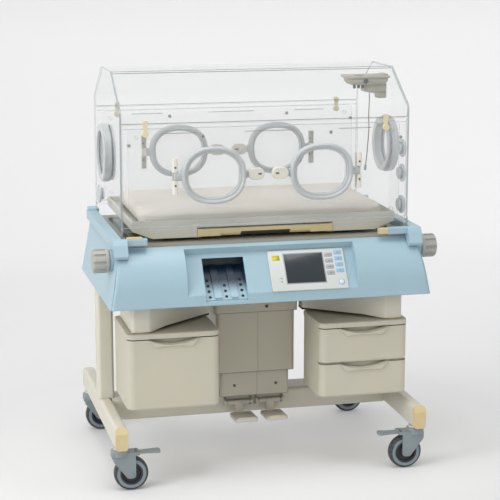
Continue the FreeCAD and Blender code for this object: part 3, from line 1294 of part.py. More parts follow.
def bed_frame():
    """The lifting frame in the deck's well: four bars, bored for the deck's pins on the left."""
    half = FRAME_HALF
    deep = FRAME_DEPTH_HALF
    bar = FRAME_BAR
    outer = upright(-half, half, -deep, deep, FRAME_BOTTOM, FRAME_TOP, 5)
    frame = outer.cut(upright(bar - half, half - bar, bar - deep, deep - bar, FRAME_BOTTOM, FRAME_TOP, 4))
    z = (FRAME_BOTTOM + FRAME_TOP) / 2
    bores = []
    for x in (-BED_PIVOT_X, BED_PIVOT_X):
        for side in SIDES:
            low, high = sorted((side * (deep + 1), side * (deep - bar * 0.7 - 1)))
            bores.append(rod("y", (x, z), BED_PIVOT_RADIUS + PIN_GAP, low, high))
    rests = []
    for side_x in SIDES:
        for side_y in SIDES:
            x = side_x * XRAY_HALF
            y = side_y * (deep - bar / 2)
            rests.append(upright(x - REST_HALF, x + REST_HALF, y - REST_HALF, y + REST_HALF,
                                 WELL_FLOOR_Z + GAP, TRAY_BOTTOM - GUIDE_DROP - GAP, 2))
    return frame.cut(Part.makeCompound(bores)).fuse(rests).removeSplitter()


def bed_tray():
    """The pale tray: a floor with a rim above, and below it a skirt with bevelled ends.

    The skirt is open at the front, where the cassette tray slides out.
    """
    half = TRAY_HALF
    deep = TRAY_DEPTH_HALF
    wall = TRAY_WALL
    face = [(-half, TRAY_TOP), (-half, TRAY_BOTTOM + TRAY_BEVEL_Z), (-half + TRAY_BEVEL_X, TRAY_BOTTOM),
            (half - TRAY_BEVEL_X, TRAY_BOTTOM), (half, TRAY_BOTTOM + TRAY_BEVEL_Z), (half, TRAY_TOP)]
    body = prism("y", face, [3, 6, 6, 6, 6, 3], -deep, deep)
    upper = upright(wall - half, half - wall, wall - deep, deep - wall, TRAY_FLOOR + TRAY_FLOOR_THICK,
                    TRAY_TOP + 1, 10)
    lower_face = [(-half + wall, TRAY_FLOOR), (-half + wall, TRAY_BOTTOM + TRAY_BEVEL_Z + 2),
                  (-half + TRAY_BEVEL_X + 4, TRAY_BOTTOM), (-half + TRAY_BEVEL_X + 4, TRAY_BOTTOM - 1),
                  (half - TRAY_BEVEL_X - 4, TRAY_BOTTOM - 1), (half - TRAY_BEVEL_X - 4, TRAY_BOTTOM),
                  (half - wall, TRAY_BOTTOM + TRAY_BEVEL_Z + 2), (half - wall, TRAY_FLOOR)]
    lower = prism("y", lower_face, 0, wall - deep, deep - wall)
    notch = XRAY_HALF + SLIDE_GAP
    window = block(-notch, notch, -deep - 1, wall - deep + 1, TRAY_BOTTOM - 1, TRAY_FLOOR)
    body = body.cut(upper).cut(lower).cut(window)
    guides = []
    for side in SIDES:
        inner = side * (XRAY_HALF + SLIDE_GAP)
        low, high = sorted((inner, inner + side * TRAY_GUIDE))
        guides.append(block(low, high, wall - deep, deep - wall, TRAY_BOTTOM + 1, TRAY_FLOOR))
        foot_low, foot_high = sorted((inner - side * TRAY_GUIDE_FOOT, inner + side * TRAY_GUIDE))
        foot_z = TRAY_BOTTOM - GUIDE_DROP
        guides.append(block(foot_low, foot_high, wall - deep, deep - wall, foot_z, TRAY_BOTTOM + 1))
    return body.fuse(guides + tray_lugs()).removeSplitter()


def tray_lugs():
    """Two lugs that hang from the tray's floor to the frame's right end, with their pins."""
    z = (FRAME_BOTTOM + FRAME_TOP) / 2
    lugs = []
    for side in SIDES:
        inner = side * (FRAME_DEPTH_HALF + GAP)
        outer = inner + side * LUG_THICK
        low, high = sorted((inner, outer))
        x = BED_PIVOT_X - 4
        profile = [(x - 14, TRAY_FLOOR + 1), (BED_PIVOT_X - 7, z - 6), (BED_PIVOT_X + 7, z - 6),
                   (x + 8, TRAY_FLOOR + 1)]
        ear = prism("y", profile, [0, 5, 5, 0], low, high)
        pin_low, pin_high = sorted((outer, side * (FRAME_DEPTH_HALF - FRAME_BAR * 0.7)))
        lugs.append(ear.fuse(rod("y", (BED_PIVOT_X, z), BED_PIVOT_RADIUS, pin_low, pin_high)))
    return lugs


def xray_tray():
    """The shallow cassette tray, with a thicker grip at each end of its front."""
    low = TRAY_BOTTOM + 1 + GAP
    high = low + XRAY_HEIGHT
    front = -TRAY_DEPTH_HALF - XRAY_PROUD
    back = TRAY_DEPTH_HALF - TRAY_WALL - XRAY_WALL
    wall = XRAY_WALL
    body = block(-XRAY_HALF, XRAY_HALF, front, back, low, high)
    room = block(wall - XRAY_HALF, XRAY_HALF - wall, front + XRAY_FRONT_WALL, back - wall,
                 low + XRAY_FLOOR, high + 1)
    grip = XRAY_HALF - XRAY_GRIP
    dip = block(-grip, grip, front - 1, front + XRAY_FRONT_WALL - 1, low - 1, low + XRAY_DIP)
    return body.cut(room).cut(dip)


def mattress():
    low = TRAY_FLOOR + TRAY_FLOOR_THICK + GAP
    pad = upright(-MATTRESS_HALF, MATTRESS_HALF, -MATTRESS_DEPTH_HALF, MATTRESS_DEPTH_HALF, low,
                  low + MATTRESS_HEIGHT, MATTRESS_CORNER)
    rims = [edge for edge in pad.Edges if edge.BoundBox.ZLength < 0.1]
    return pad.makeFillet(MATTRESS_ROUND, rims)


def build_bed():
    export("bed_frame", bed_frame())
    export("bed_tray", bed_tray())
    export("xray_tray", xray_tray())
    export("mattress", mattress())


# Hood

def roof_line(inset):
    """Return the hood's section from the front edge over the top to the back edge."""
    slope = math.atan2(HOOD_TOP - HOOD_SHOULDER, HOOD_DEPTH_HALF - HOOD_FLAT_HALF)
    lower = inset * math.tan(math.pi / 4 - slope / 2)
    upper = inset * math.tan(slope / 2)
    deep = HOOD_DEPTH_HALF - inset
    shoulder = HOOD_SHOULDER - lower
    flat = HOOD_FLAT_HALF - upper
    top = HOOD_TOP - inset
    return [(-deep, CANOPY_EDGE), (-deep, shoulder), (-flat, top), (flat, top), (deep, shoulder),
            (deep, CANOPY_EDGE)]


def canopy():
    """The bent clear sheet that makes the roof and its two slopes."""
    half = HOOD_HALF - END_WALL
    bend = HOOD_BEND
    tight = HOOD_BEND - HOOD_WALL
    outer = prism("x", roof_line(0), [0, bend, bend, bend, bend, 0], -half, half)
    inner_line = roof_line(HOOD_WALL)
    inner_line[0] = (inner_line[0][0], CANOPY_EDGE - 1)
    inner_line[-1] = (inner_line[-1][0], CANOPY_EDGE - 1)
    inner = prism("x", inner_line, [0, tight, tight, tight, tight, 0], -half - 1, half + 1)
    return outer.cut(inner)


def end_panel():
    """The clear right end, with its round port hole, its rear pivot hole and three plug holes."""
    setback = HOOD_PIVOT_SETBACK
    deep = HOOD_DEPTH_HALF
    line = [(-deep, HOOD_REST_Z), (-deep, HOOD_SHOULDER), (-HOOD_FLAT_HALF, HOOD_TOP),
            (HOOD_FLAT_HALF, HOOD_TOP), (deep, HOOD_SHOULDER), (deep, HOOD_REST_Z)]
    inside = HOOD_HALF - END_WALL - 1
    bend = HOOD_BEND
    panel = prism("x", line, [4, bend, bend, bend, bend, setback - 0.5], HOOD_HALF - END_WALL, HOOD_HALF)
    lug = prism("x", rectangle(-deep - DOOR_LUG, -deep + DOOR_LUG * 2, DOOR_HINGE_Z - DOOR_LUG * 2,
                               DOOR_HINGE_Z + DOOR_LUG * 2), DOOR_LUG * 0.9, HOOD_HALF - END_WALL, HOOD_HALF)
    panel = panel.fuse([lug, turned_back(mirrored(lug))]).removeSplitter()
    panel = panel.cut(rod("x", HOOD_PIVOT, HOOD_PIVOT_RADIUS + PIN_GAP, inside, HOOD_HALF + 1))
    port = (END_PORT_Y, END_PORT_Z)
    panel = panel.cut(rod("x", port, END_PORT_RADIUS - END_PORT_RING, inside, HOOD_HALF + 1))
    return panel.cut(door_pin(1, PIN_GAP)).cut(turned_back(door_pin(-1, PIN_GAP)))


def plug_holes(panel, places, side):
    """Cut the tubing holes into an end panel."""
    for place in places:
        start, end = sorted((side * (HOOD_HALF - END_WALL - 1), side * (HOOD_HALF + 1)))
        panel = panel.cut(rod("x", place, PLUG_BORE_RADIUS, start, end))
    return panel


def end_port():
    """The round blue-grey port frame with a raised rim, and its clear inner pane."""
    centre = (END_PORT_Y, END_PORT_Z)
    inner = END_PORT_RADIUS - END_PORT_RING
    outside = rod("x", centre, END_PORT_RADIUS, HOOD_HALF, HOOD_HALF + END_PORT_OUT)
    rim = [edge for edge in outside.Edges if edge.BoundBox.XMin > HOOD_HALF + 1]
    outside = outside.makeFillet(5, rim)
    inside = rod("x", centre, END_PORT_RADIUS - 4, HOOD_HALF - END_WALL - END_PORT_IN, HOOD_HALF - END_WALL)
    sleeve = rod("x", centre, inner - GAP, HOOD_HALF - END_WALL, HOOD_HALF)
    clear = inner - END_PORT_LIP
    reach = END_PORT_OUT * 2
    bore = rod("x", centre, clear, HOOD_HALF - reach, HOOD_HALF + reach)
    ring = outside.fuse([inside, sleeve]).cut(bore)
    pane_x = HOOD_HALF + END_PORT_OUT - END_PORT_LIP
    pane = rod("x", centre, clear, pane_x - PANE_THICK, pane_x)
    return ring.removeSplitter(), pane


def plug(y, z, side):
    """A soft plug for tubing, seated in its hole with a flange on the outside."""
    start = HOOD_HALF - END_WALL
    body = rod("x", (y, z), PLUG_BORE_RADIUS - GAP, start - 4, HOOD_HALF)
    flange = rod("x", (y, z), PLUG_RADIUS, HOOD_HALF, HOOD_HALF + 7)
    rim = [edge for edge in flange.Edges if edge.BoundBox.XMin > HOOD_HALF + 1]
    return handed(body.fuse(flange.makeFillet(3, rim)).removeSplitter(), side)


def port_outline(grow):
    """Return the corners of a hand port's rounded oval, in x and z about its centre."""
    wide = PORT_HALF_WIDTH + grow
    tall = PORT_HALF_HEIGHT + grow
    return rectangle(-wide, wide, -tall, tall)


def port_prism(grow, y0, y1, centre_x):
    solid = prism("y", port_outline(grow), PORT_CORNER + grow, y0, y1)
    solid.translate(Vector(centre_x, 0, PORT_Z))
    return solid


def door():
    """The front door: a clear sheet with two oval ports, its lining, and its seals and spacers."""
    outer_y = -HOOD_DEPTH_HALF
    inner_y = outer_y + DOOR_THICK
    sheet = prism("y", rectangle(-DOOR_HALF, DOOR_HALF, DOOR_BOTTOM, DOOR_TOP), 4, outer_y, inner_y)
    wall_y = inner_y + INNER_WALL_GAP
    lining = prism("y", rectangle(-INNER_WALL_HALF, INNER_WALL_HALF, INNER_WALL_BOTTOM, INNER_WALL_TOP),
                   INNER_WALL_CORNER, wall_y, wall_y + INNER_WALL_THICK)
    seals = []
    for side in SIDES:
        centre = side * PORT_X
        hole = port_prism(-PORT_RING, outer_y - 1, wall_y + INNER_WALL_THICK + 1, centre)
        sheet = sheet.cut(hole)
        lining = lining.cut(hole)
        seal = port_prism(PORT_SEAL - PORT_RING, outer_y - PORT_SEAL, outer_y, centre)
        seals.append(seal.cut(port_prism(-PORT_RING, outer_y - PORT_SEAL - 1, outer_y + 1, centre)))
        spacer_x = side * (INNER_WALL_HALF - SPACER_INSET)
        for z in (INNER_WALL_BOTTOM + SPACER_INSET, INNER_WALL_TOP - SPACER_INSET):
            seals.append(rod("y", (spacer_x, z), SPACER_RADIUS, inner_y, wall_y))
        latch_x = side * (PORT_X - LATCH_OFFSET)
        turner = (side * TURN_LATCH_X, TURN_LATCH_Z)
        sheet = sheet.cut(rod("y", (latch_x, PORT_Z), LATCH_STEM_RADIUS + PIN_GAP, outer_y - 1, inner_y + 1))
        sheet = sheet.cut(rod("y", turner, TURN_LATCH_STEM_RADIUS + PIN_GAP, outer_y - 1, inner_y + 1))
    pins = [door_pin(side, 0) for side in SIDES]
    return sheet.fuse(pins).removeSplitter(), lining, seals


def door_pin(side, grow):
    """The pin at a door's lower corner that turns in the end panel, or the hole for it."""
    centre = (-HOOD_DEPTH_HALF + DOOR_THICK / 2, DOOR_HINGE_Z)
    start, end = sorted((side * (DOOR_HALF - 6), side * (HOOD_HALF + grow)))
    return rod("x", centre, DOOR_PIN_RADIUS + grow, start, end)


def port_door(centre_x, hinge_side):
    """A hand port's door: the oval ring, its hinge knuckle, its catch ear, and the clear pane."""
    front_y = -HOOD_DEPTH_HALF - PORT_SEAL - GAP - PORT_DEPTH
    back_y = front_y + PORT_DEPTH
    ring = port_prism(0, front_y, back_y, centre_x)
    rims = [edge for edge in ring.Edges if edge.BoundBox.YMax < front_y + 0.1]
    ring = ring.makeFillet(5, rims).cut(port_prism(-PORT_RING, front_y - 1, back_y + 1, centre_x))
    pane = port_prism(-PORT_RING, front_y + 9, front_y + 9 + PANE_THICK, centre_x)
    hinge_x = centre_x + hinge_side * HINGE_BAR_OFFSET
    ear_start, ear_end = sorted((centre_x + hinge_side * (PORT_HALF_WIDTH - 6), hinge_x))
    ear_low = PORT_Z - PORT_EAR
    ear_high = PORT_Z + PORT_EAR
    ear = prism("x", rectangle(back_y - 14, back_y - 2, ear_low, ear_high), 3, ear_start, ear_end)
    knuckle = rod("z", (hinge_x, back_y - 8), 6, PORT_Z - PORT_EAR, PORT_Z + PORT_EAR)
    bore = rod("z", (hinge_x, back_y - 8), 2 + PIN_GAP, PORT_Z - PORT_EAR - 1, PORT_Z + PORT_EAR + 1)
    catch_start, catch_end = sorted((centre_x - hinge_side * (PORT_HALF_WIDTH - 6),
                                     centre_x - hinge_side * (LATCH_OFFSET - LATCH_HALF_WIDTH - 1)))
    catch = prism("x", rectangle(back_y - 12, back_y - 2, ear_low, ear_high), 3, catch_start, catch_end)
    return ring.fuse([ear, knuckle, catch]).cut(bore).removeSplitter(), pane


def hinge_bar(centre_x, hinge_side):
    """The pale bar on the door that holds a port door's hinge pin between its two halves."""
    hinge_x = centre_x + hinge_side * HINGE_BAR_OFFSET
    pin_y = -HOOD_DEPTH_HALF - PORT_SEAL - GAP - 8
    back_y = -HOOD_DEPTH_HALF
    half = HINGE_BAR_WIDTH / 2
    pieces = []
    for side in SIDES:
        low, high = sorted((PORT_Z + side * (PORT_EAR + GAP), PORT_Z + side * HINGE_BAR_HALF))
        plan = rectangle(hinge_x - half, hinge_x + half, pin_y - 7, back_y)
        pieces.append(prism("z", plan, [5, 5, 0, 0], low, high))
    low = PORT_Z - PORT_EAR - 1
    high = PORT_Z + PORT_EAR + 1
    pieces.append(rod("z", (hinge_x, pin_y), 2, low, high))
    web = block(hinge_x - half, hinge_x + half, back_y - 2, back_y, low, high)
    return pieces[0].fuse([*pieces[1:], web]).removeSplitter()


def port_latch(centre_x, hinge_side):
    """The oval push latch beside a port, with its stem through the door."""
    x = centre_x - hinge_side * LATCH_OFFSET
    front_y = -HOOD_DEPTH_HALF - LATCH_TRAVEL - GAP - LATCH_DEPTH
    back_y = front_y + LATCH_DEPTH
    wide = LATCH_HALF_WIDTH
    tall = LATCH_HALF_HEIGHT
    oval = rectangle(x - wide, x + wide, PORT_Z - tall, PORT_Z + tall)
    button = prism("y", oval, tall * 0.94, front_y, back_y)
    rims = [edge for edge in button.Edges if edge.BoundBox.YMax < front_y + 0.1]
    button = button.makeFillet(3, rims)
    stem = rod("y", (x, PORT_Z), LATCH_STEM_RADIUS, back_y, -HOOD_DEPTH_HALF + DOOR_THICK)
    return button.fuse(stem).removeSplitter()


def turn_latch():
    """The turning latch on the door, whose arm reaches up over the canopy's edge, on the right front."""
    y = -HOOD_DEPTH_HALF - GAP
    boss = rod("y", (TURN_LATCH_X, TURN_LATCH_Z), TURN_LATCH_RADIUS, y - TURN_LATCH_THICK - 4, y)
    stem = rod("y", (TURN_LATCH_X, TURN_LATCH_Z), TURN_LATCH_STEM_RADIUS, y, -HOOD_DEPTH_HALF + DOOR_THICK)
    high = TURN_LATCH_Z + TURN_LATCH_REACH
    plan = [(TURN_LATCH_X - 4, TURN_LATCH_Z), (TURN_LATCH_X + 4, TURN_LATCH_Z), (TURN_LATCH_X + 8, high),
            (TURN_LATCH_X - 8, high)]
    arm = prism("y", plan, [0, 6, 6, 0], y - TURN_LATCH_THICK, y)
    return boss.fuse([stem, arm]).removeSplitter()


def sensor_module():
    """The cream module under the roof: a tapered case, its roof bracket and the lead's socket arm."""
    case = [(MODULE_LEFT, MODULE_TOP), (MODULE_LEFT + MODULE_SLANT, MODULE_BOTTOM + MODULE_CHIN),
            (MODULE_LEFT + MODULE_BEVEL, MODULE_BOTTOM), (MODULE_RIGHT - MODULE_NOSE, MODULE_BOTTOM),
            (MODULE_RIGHT, MODULE_BOTTOM + MODULE_NOSE_RISE), (MODULE_RIGHT, MODULE_TOP)]
    body = prism("y", case, [4, 8, 8, 5, 5, 4], MODULE_FRONT, MODULE_BACK)
    inset = MODULE_INSET
    bracket = block(MODULE_LEFT + inset, MODULE_RIGHT - inset, MODULE_FRONT + inset, MODULE_BACK - inset,
                    MODULE_TOP, HOOD_TOP - HOOD_WALL)
    foot = block(MODULE_RIGHT, HOOD_HALF - END_WALL, MODULE_FRONT + inset, MODULE_BACK - inset,
                 MODULE_TOP - inset, MODULE_TOP - 4)
    arm = upright(SOCKET_LEFT, MODULE_RIGHT + 3, MODULE_BACK - inset, SOCKET_BACK, SOCKET_BOTTOM,
                  MODULE_BOTTOM + 12, 5)
    return body.fuse([bracket, foot, arm]).removeSplitter()


def lead():
    """The thin sensor lead: straight runs joined by tangent arcs, with the radii printed."""
    points = [Vector(*point) for point in LEAD_POINTS]
    edges = []
    start = points[0]
    for index in range(1, len(points) - 1):
        before, corner, after = points[index - 1], points[index], points[index + 1]
        turn = math.pi - (before - corner).getAngle(after - corner)
        shorter = min((corner - before).Length, (after - corner).Length)
        radius = 0.45 * shorter / math.tan(turn / 2)
        arc_start, middle, arc_end = corner_cut(before, corner, after, radius)
        edges.append(Part.makeLine(start, arc_start))
        edges.append(Part.Arc(arc_start, middle, arc_end).toShape())
        start = arc_end
        print("lead bend", index, "radius", round(radius, 1))
    edges.append(Part.makeLine(start, points[-1]))
    path = Part.Wire(edges)
    profile = Part.Wire(Part.makeCircle(LEAD_RADIUS, points[0], points[1] - points[0]))
    tube_solid = path.makePipeShell([profile], True, False)
    area = math.pi * LEAD_RADIUS ** 2
    share = tube_solid.Volume / (area * path.Length)
    print("lead length", round(path.Length, 1), "volume ratio", round(share, 4))
    return tube_solid


def probe():
    """The small probe on the end of the lead."""
    end = Vector(*LEAD_POINTS[-1])
    direction = (end - Vector(*LEAD_POINTS[-2])).normalize()
    return Part.makeCylinder(PROBE_RADIUS, PROBE_LENGTH, end, direction)


def build_hood():
    right_places = [(PLUG_Y, DECK_TOP + rise) for rise in PLUG_RISES]
    left_places = [(PLUG_LEFT_Y, DECK_TOP + PLUG_LEFT_RISE)]
    panel = end_panel()
    ring, pane = end_port()
    export("canopy", canopy())
    export("end_panels", plug_holes(panel, right_places, 1), plug_holes(mirrored(panel), left_places, -1))
    plugs = [plug(y, z, 1) for y, z in right_places] + [plug(y, z, -1) for y, z in left_places]
    export("end_ports", ring, pane, mirrored(ring), mirrored(pane), *plugs)
    export("sensor_module", sensor_module())
    export("sensor_lead", lead())
    export("sensor_probe", probe())
    sheet, lining, trims = door()
    bars = [hinge_bar(side * PORT_X, side) for side in SIDES]
    front = [sheet, lining, *trims, *bars]
    export("front_door", *front)
    export("back_door", *[turned_back(piece) for piece in front])
    for side, name in ((-1, "left"), (1, "right")):
        port_ring, port_pane = port_door(side * PORT_X, side)
        latch = port_latch(side * PORT_X, side)
        turner = handed(turn_latch(), side)
        opposite = "right" if name == "left" else "left"
        export("port_door_front_" + name, port_ring, port_pane)
        export("port_door_back_" + opposite, turned_back(port_ring), turned_back(port_pane))
        export("port_latch_front_" + name, latch)
        export("port_latch_back_" + opposite, turned_back(latch))
        export("turn_latch_front_" + name, turner)
        export("turn_latch_back_" + opposite, turned_back(turner))


build_stand()
build_pedals()
build_casters()
build_base()
build_pods()
build_bed()
build_hood()
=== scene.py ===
# %% [markdown]
# An infant incubator, dressed for the camera.
# The solids come from the frame: they carry every size and every joint.
# This file gives them their finishes, and adds what solids can't show well:
# the soft mattress, the moulded port rings, the hanging lead and the small trim.

# %% Load the frame
import math

import bpy
import numpy as np
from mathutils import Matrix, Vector


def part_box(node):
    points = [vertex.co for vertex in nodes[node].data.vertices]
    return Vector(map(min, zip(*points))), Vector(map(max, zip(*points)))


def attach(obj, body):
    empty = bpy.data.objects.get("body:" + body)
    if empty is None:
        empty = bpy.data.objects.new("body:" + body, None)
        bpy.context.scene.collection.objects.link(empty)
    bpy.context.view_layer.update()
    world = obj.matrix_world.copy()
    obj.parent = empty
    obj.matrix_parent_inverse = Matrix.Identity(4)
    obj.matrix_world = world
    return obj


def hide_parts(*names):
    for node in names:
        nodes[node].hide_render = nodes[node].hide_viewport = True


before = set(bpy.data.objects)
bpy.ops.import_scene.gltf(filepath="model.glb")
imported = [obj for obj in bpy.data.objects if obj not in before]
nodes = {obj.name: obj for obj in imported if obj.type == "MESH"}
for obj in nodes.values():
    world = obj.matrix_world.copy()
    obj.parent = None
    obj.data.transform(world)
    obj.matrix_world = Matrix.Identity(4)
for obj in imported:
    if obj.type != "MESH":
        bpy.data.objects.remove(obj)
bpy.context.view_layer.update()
MM = 0.001
ENDS = (("left", -1), ("right", 1))
FACES = (("front", -1), ("back", 1))

# %% [markdown]
# Every finish below is a small sum of noise, masks and colours.
# Written with nodes alone such a sum is long, so one class wraps a socket:
# an expression on it, such as 1 - mask * 0.5, adds the Math nodes that it needs.

# %% Shader expressions
class Signal:
    """A number, colour or vector that varies over a surface."""

    def __init__(self, finish, socket):
        self.finish = finish
        self.socket = socket

    def _math(self, operation, first, second=0.0):
        return self.finish.add("ShaderNodeMath", {"operation": operation}, {0: first, 1: second})

    def __add__(self, other):
        return self._math("ADD", self, other)

    def __sub__(self, other):
        return self._math("SUBTRACT", self, other)

    def __rsub__(self, other):
        return self._math("SUBTRACT", other, self)

    def __mul__(self, other):
        return self._math("MULTIPLY", self, other)

    def __truediv__(self, other):
        return self._math("DIVIDE", self, other)

    def __pow__(self, other):
        return self._math("POWER", self, other)

    def __lt__(self, other):
        return self._math("LESS_THAN", self, other)

    def __gt__(self, other):
        return self._math("GREATER_THAN", self, other)

    def __abs__(self):
        return self._math("ABSOLUTE", self)

    def larger(self, other):
        return self._math("MAXIMUM", self, other)

    def smaller(self, other):
        return self._math("MINIMUM", self, other)

    __radd__ = __add__
    __rmul__ = __mul__


class Finish:
    """One material under construction: a shader, its output and the nodes that feed them."""

    def __init__(self, name):
        self.material = bpy.data.materials.new(name)
        self.material.use_nodes = True
        self.tree = self.material.node_tree
        self.shader = self.tree.nodes["Principled BSDF"]
        self.place = self.add("ShaderNodeTexCoord", {}, {}, "Object")

    def add(self, kind, settings, inputs, output=0):
        """Add a node: its settings first, then values or links for its sockets; return one output."""
        node = self.tree.nodes.new(kind)
        for key, value in settings.items():
            setattr(node, key, value)
        for key, value in inputs.items():
            self.feed(node.inputs[key], value)
        return Signal(self, node.outputs[output])

    def feed(self, socket, value):
        if isinstance(value, Signal):
            self.tree.links.new(value.socket, socket)
        elif hasattr(value, "__len__") and len(value) == 3 and socket.type == "RGBA":
            socket.default_value = (*value, 1.0)
        else:
            socket.default_value = value

    def set(self, **values):
        """Set or link sockets of the shader; an underscore in a name stands for a space."""
        for key, value in values.items():
            self.feed(self.shader.inputs[key.replace("_", " ")], value)
        return self

    def current(self, key):
        """What feeds a socket of the shader now."""
        return Signal(self, self.shader.inputs[key].links[0].from_socket)

    def noise(self, scale, detail=2.0, stretch=(1, 1, 1)):
        """Noise with lumps 1 / scale metres across, drawn out along an axis by a small stretch."""
        place = self.add("ShaderNodeMapping", {}, {"Vector": self.place, "Scale": stretch})
        return self.add("ShaderNodeTexNoise", {}, {"Vector": place, "Scale": scale, "Detail": detail})

    def mix(self, share, first, second):
        """Blend two colours."""
        return self.add("ShaderNodeMix", {"data_type": "RGBA"}, {0: share, 6: first, 7: second}, 2)

    def axes(self):
        """The place's X, Y and Z as three signals."""
        return [self.add("ShaderNodeSeparateXYZ", {}, {0: self.place}, axis) for axis in range(3)]

    def soft_edges(self, radius, height=None, strength=0.2, distance=0.0004):
        """Normals that round the edges by a radius, with an optional fine bump on top."""
        rounded = self.add("ShaderNodeBevel", {"samples": 4}, {"Radius": radius})
        if height is None:
            return rounded
        return self.add("ShaderNodeBump", {}, {"Height": height, "Strength": strength, "Distance": distance,
                                               "Normal": rounded})


def rgb(red, green, blue):
    """A colour written as screen values from 0 to 255, as the shader's linear numbers."""
    linear = []
    for value in (red, green, blue):
        share = value / 255
        linear.append(share / 12.92 if share <= 0.04045 else ((share + 0.055) / 1.055) ** 2.4)
    return tuple(linear)


def dress(finish, *names):
    """Give CAD nodes one finish, in every slot that they have."""
    for name in names:
        mesh = nodes[name].data
        if not mesh.materials:
            mesh.materials.append(finish.material)
        for index in range(len(mesh.materials)):
            mesh.materials[index] = finish.material
    print(finish.material.name, "on", len(names), "nodes")


# %% [markdown]
# Most of the incubator is moulded plastic or powder coated steel.
# Both are one plain colour with a very fine grain, a faint clouding that years of
# cleaning leave, and edges that are a little rounded and catch the light.
# One function makes them all; colour, gloss and grain size tell them apart.

# %% Moulded and coated finishes
GRAIN = 900.0
CLOUD = 9.0


def moulded(name, colour, rough=0.42, grain=0.12, edge=0.0014, yellowing=0.0, coat=0.0):
    """Colour = base clouded by slow noise and yellowed in patches; bump = fine grain."""
    finish = Finish(name)
    cloud = finish.noise(CLOUD, 3)
    fine = finish.noise(GRAIN, 2)
    dark = tuple(channel * 0.90 for channel in colour)
    warm = (min(colour[0] * 1.06, 1), colour[1] * 0.95, colour[2] * 0.72)
    tone = finish.mix((cloud - 0.35) * 0.9, dark, colour)
    if yellowing:
        patches = finish.noise(CLOUD * 0.6, 1)
        tone = finish.mix((patches - 0.4).larger(0.0) * yellowing * 4, tone, warm)
    finish.set(Base_Color=tone, Roughness=rough + (cloud - 0.5) * 0.16 + (fine - 0.5) * 0.05,
               Normal=finish.soft_edges(edge, fine, grain))
    finish.shader.inputs["Coat Weight"].default_value = coat
    finish.shader.inputs["Coat Roughness"].default_value = 0.2
    finish.shader.inputs["Specular IOR Level"].default_value = 0.45
    return finish


SHELL_BLUE = rgb(163, 192, 204)
STAND_CREAM = rgb(216, 213, 199)
POD_CREAM = rgb(203, 199, 182)
AGED_CREAM = rgb(216, 199, 154)
LATCH_CREAM = rgb(222, 219, 207)
TRAY_GREY = rgb(200, 199, 186)
DECK_GREY = rgb(160, 158, 146)
RING_BLUE = rgb(200, 205, 206)
KNOB_GREY = rgb(176, 176, 170)
FORK_GREY = rgb(142, 153, 156)
CASSETTE_KHAKI = rgb(208, 194, 148)
STEEL_GREY = rgb(150, 152, 152)

dress(moulded("blue_moulding", SHELL_BLUE, rough=0.38, coat=0.15, edge=0.003), "end_rails")
dress(moulded("stand_coating", STAND_CREAM, rough=0.40, yellowing=0.15, edge=0.002),
      "legs", "crossbar", "outer_posts")
dress(moulded("pod_moulding", POD_CREAM, rough=0.50, grain=0.2, yellowing=0.1, edge=0.0025), "pod_left", "pod_right")
dress(moulded("aged_moulding", AGED_CREAM, rough=0.45, yellowing=0.5), "leg_end_caps", "arm_pads")
dress(moulded("tray_moulding", TRAY_GREY, rough=0.36, yellowing=0.1), "bed_tray")
dress(moulded("deck_moulding", DECK_GREY, rough=0.4, yellowing=0.1), "deck", "bed_frame")
dress(moulded("knob_moulding", KNOB_GREY, rough=0.5, grain=0.25, edge=0.001), "tilt_knob_left", "tilt_knob_right")
dress(moulded("fork_moulding", FORK_GREY, rough=0.42, grain=0.2),
      *[name for name in nodes if name.startswith(("caster_fork", "brake_lever"))])
dress(moulded("frame_steel", STEEL_GREY, rough=0.35), "chassis_frame", "fan_motor_and_heater")
dress(moulded("fan_moulding", rgb(70, 72, 76), rough=0.5), "fan_wheel")

# %% [markdown]
# Four finishes change with the place, and each carries painted shade or light. The cassette tray's front has painted
# shade where it is cut away between its two grips. A drawer's finger scoop is painted paler inside, as light reaching
# into it, and a painted shadow line runs under the pod's lid. A hanger ends in a yellowed pad on the pod's pivot,
# with a painted shadow along its foot. The housing's sensor pocket has painted navy shade where it is deep.

# %% Finishes that change with the place
EDGE_BARE = 0.0003
LID_GAP_HALF = 0.0012
SCOOP_TALL = 0.024
# Painted light: a paler cream for the finger scoops' insides, where shade falls.
SCOOP_LIT_CREAM = rgb(226, 222, 207)
SHADOW_BROWN = rgb(44, 40, 30)
FACE_Y = -0.2915
SCOOP_X = 0.2865
SCOOP_REACH = 0.082
GRIP_GAP_HALF = 0.074
GRIP_GAP_TALL = 0.011
GRIP_GAP_DEEP = 0.009
HANGER_PAD_Z = 0.4624
HANGER_GAP = 0.0055
HANGER_GAP_X = 0.350
POCKET_LEFT = -0.2004
POCKET_RIGHT = -0.0776
POCKET_FOOT = (-0.338, 0.571)
POCKET_LEAN = 0.076 / 0.109
POCKET_BACK_Y = -0.150
# Painted shade: navy for the deep upper part of the sensor pocket.
POCKET_SHADE_NAVY = rgb(6, 38, 58)


def replaced_colour(finish, share, colour):
    """Blend a second colour into a finish's base colour."""
    return finish.set(Base_Color=finish.mix(share, finish.current("Base Color"), colour))


def cassette_finish():
    """Khaki, with painted shade along the foot of the front between the two grips, where it is cut away."""
    finish = moulded("cassette_moulding", CASSETTE_KHAKI, rough=0.4, yellowing=0.3)
    x, y, z = finish.axes()
    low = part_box("xray_tray")[0]
    # Painted shade: the hollow under the strip between the grips is coloured shadow brown.
    cut = (abs(x) < GRIP_GAP_HALF) * (z < low.z + GRIP_GAP_TALL) * (y < low.y + GRIP_GAP_DEEP)
    return replaced_colour(finish, cut, SHADOW_BROWN)


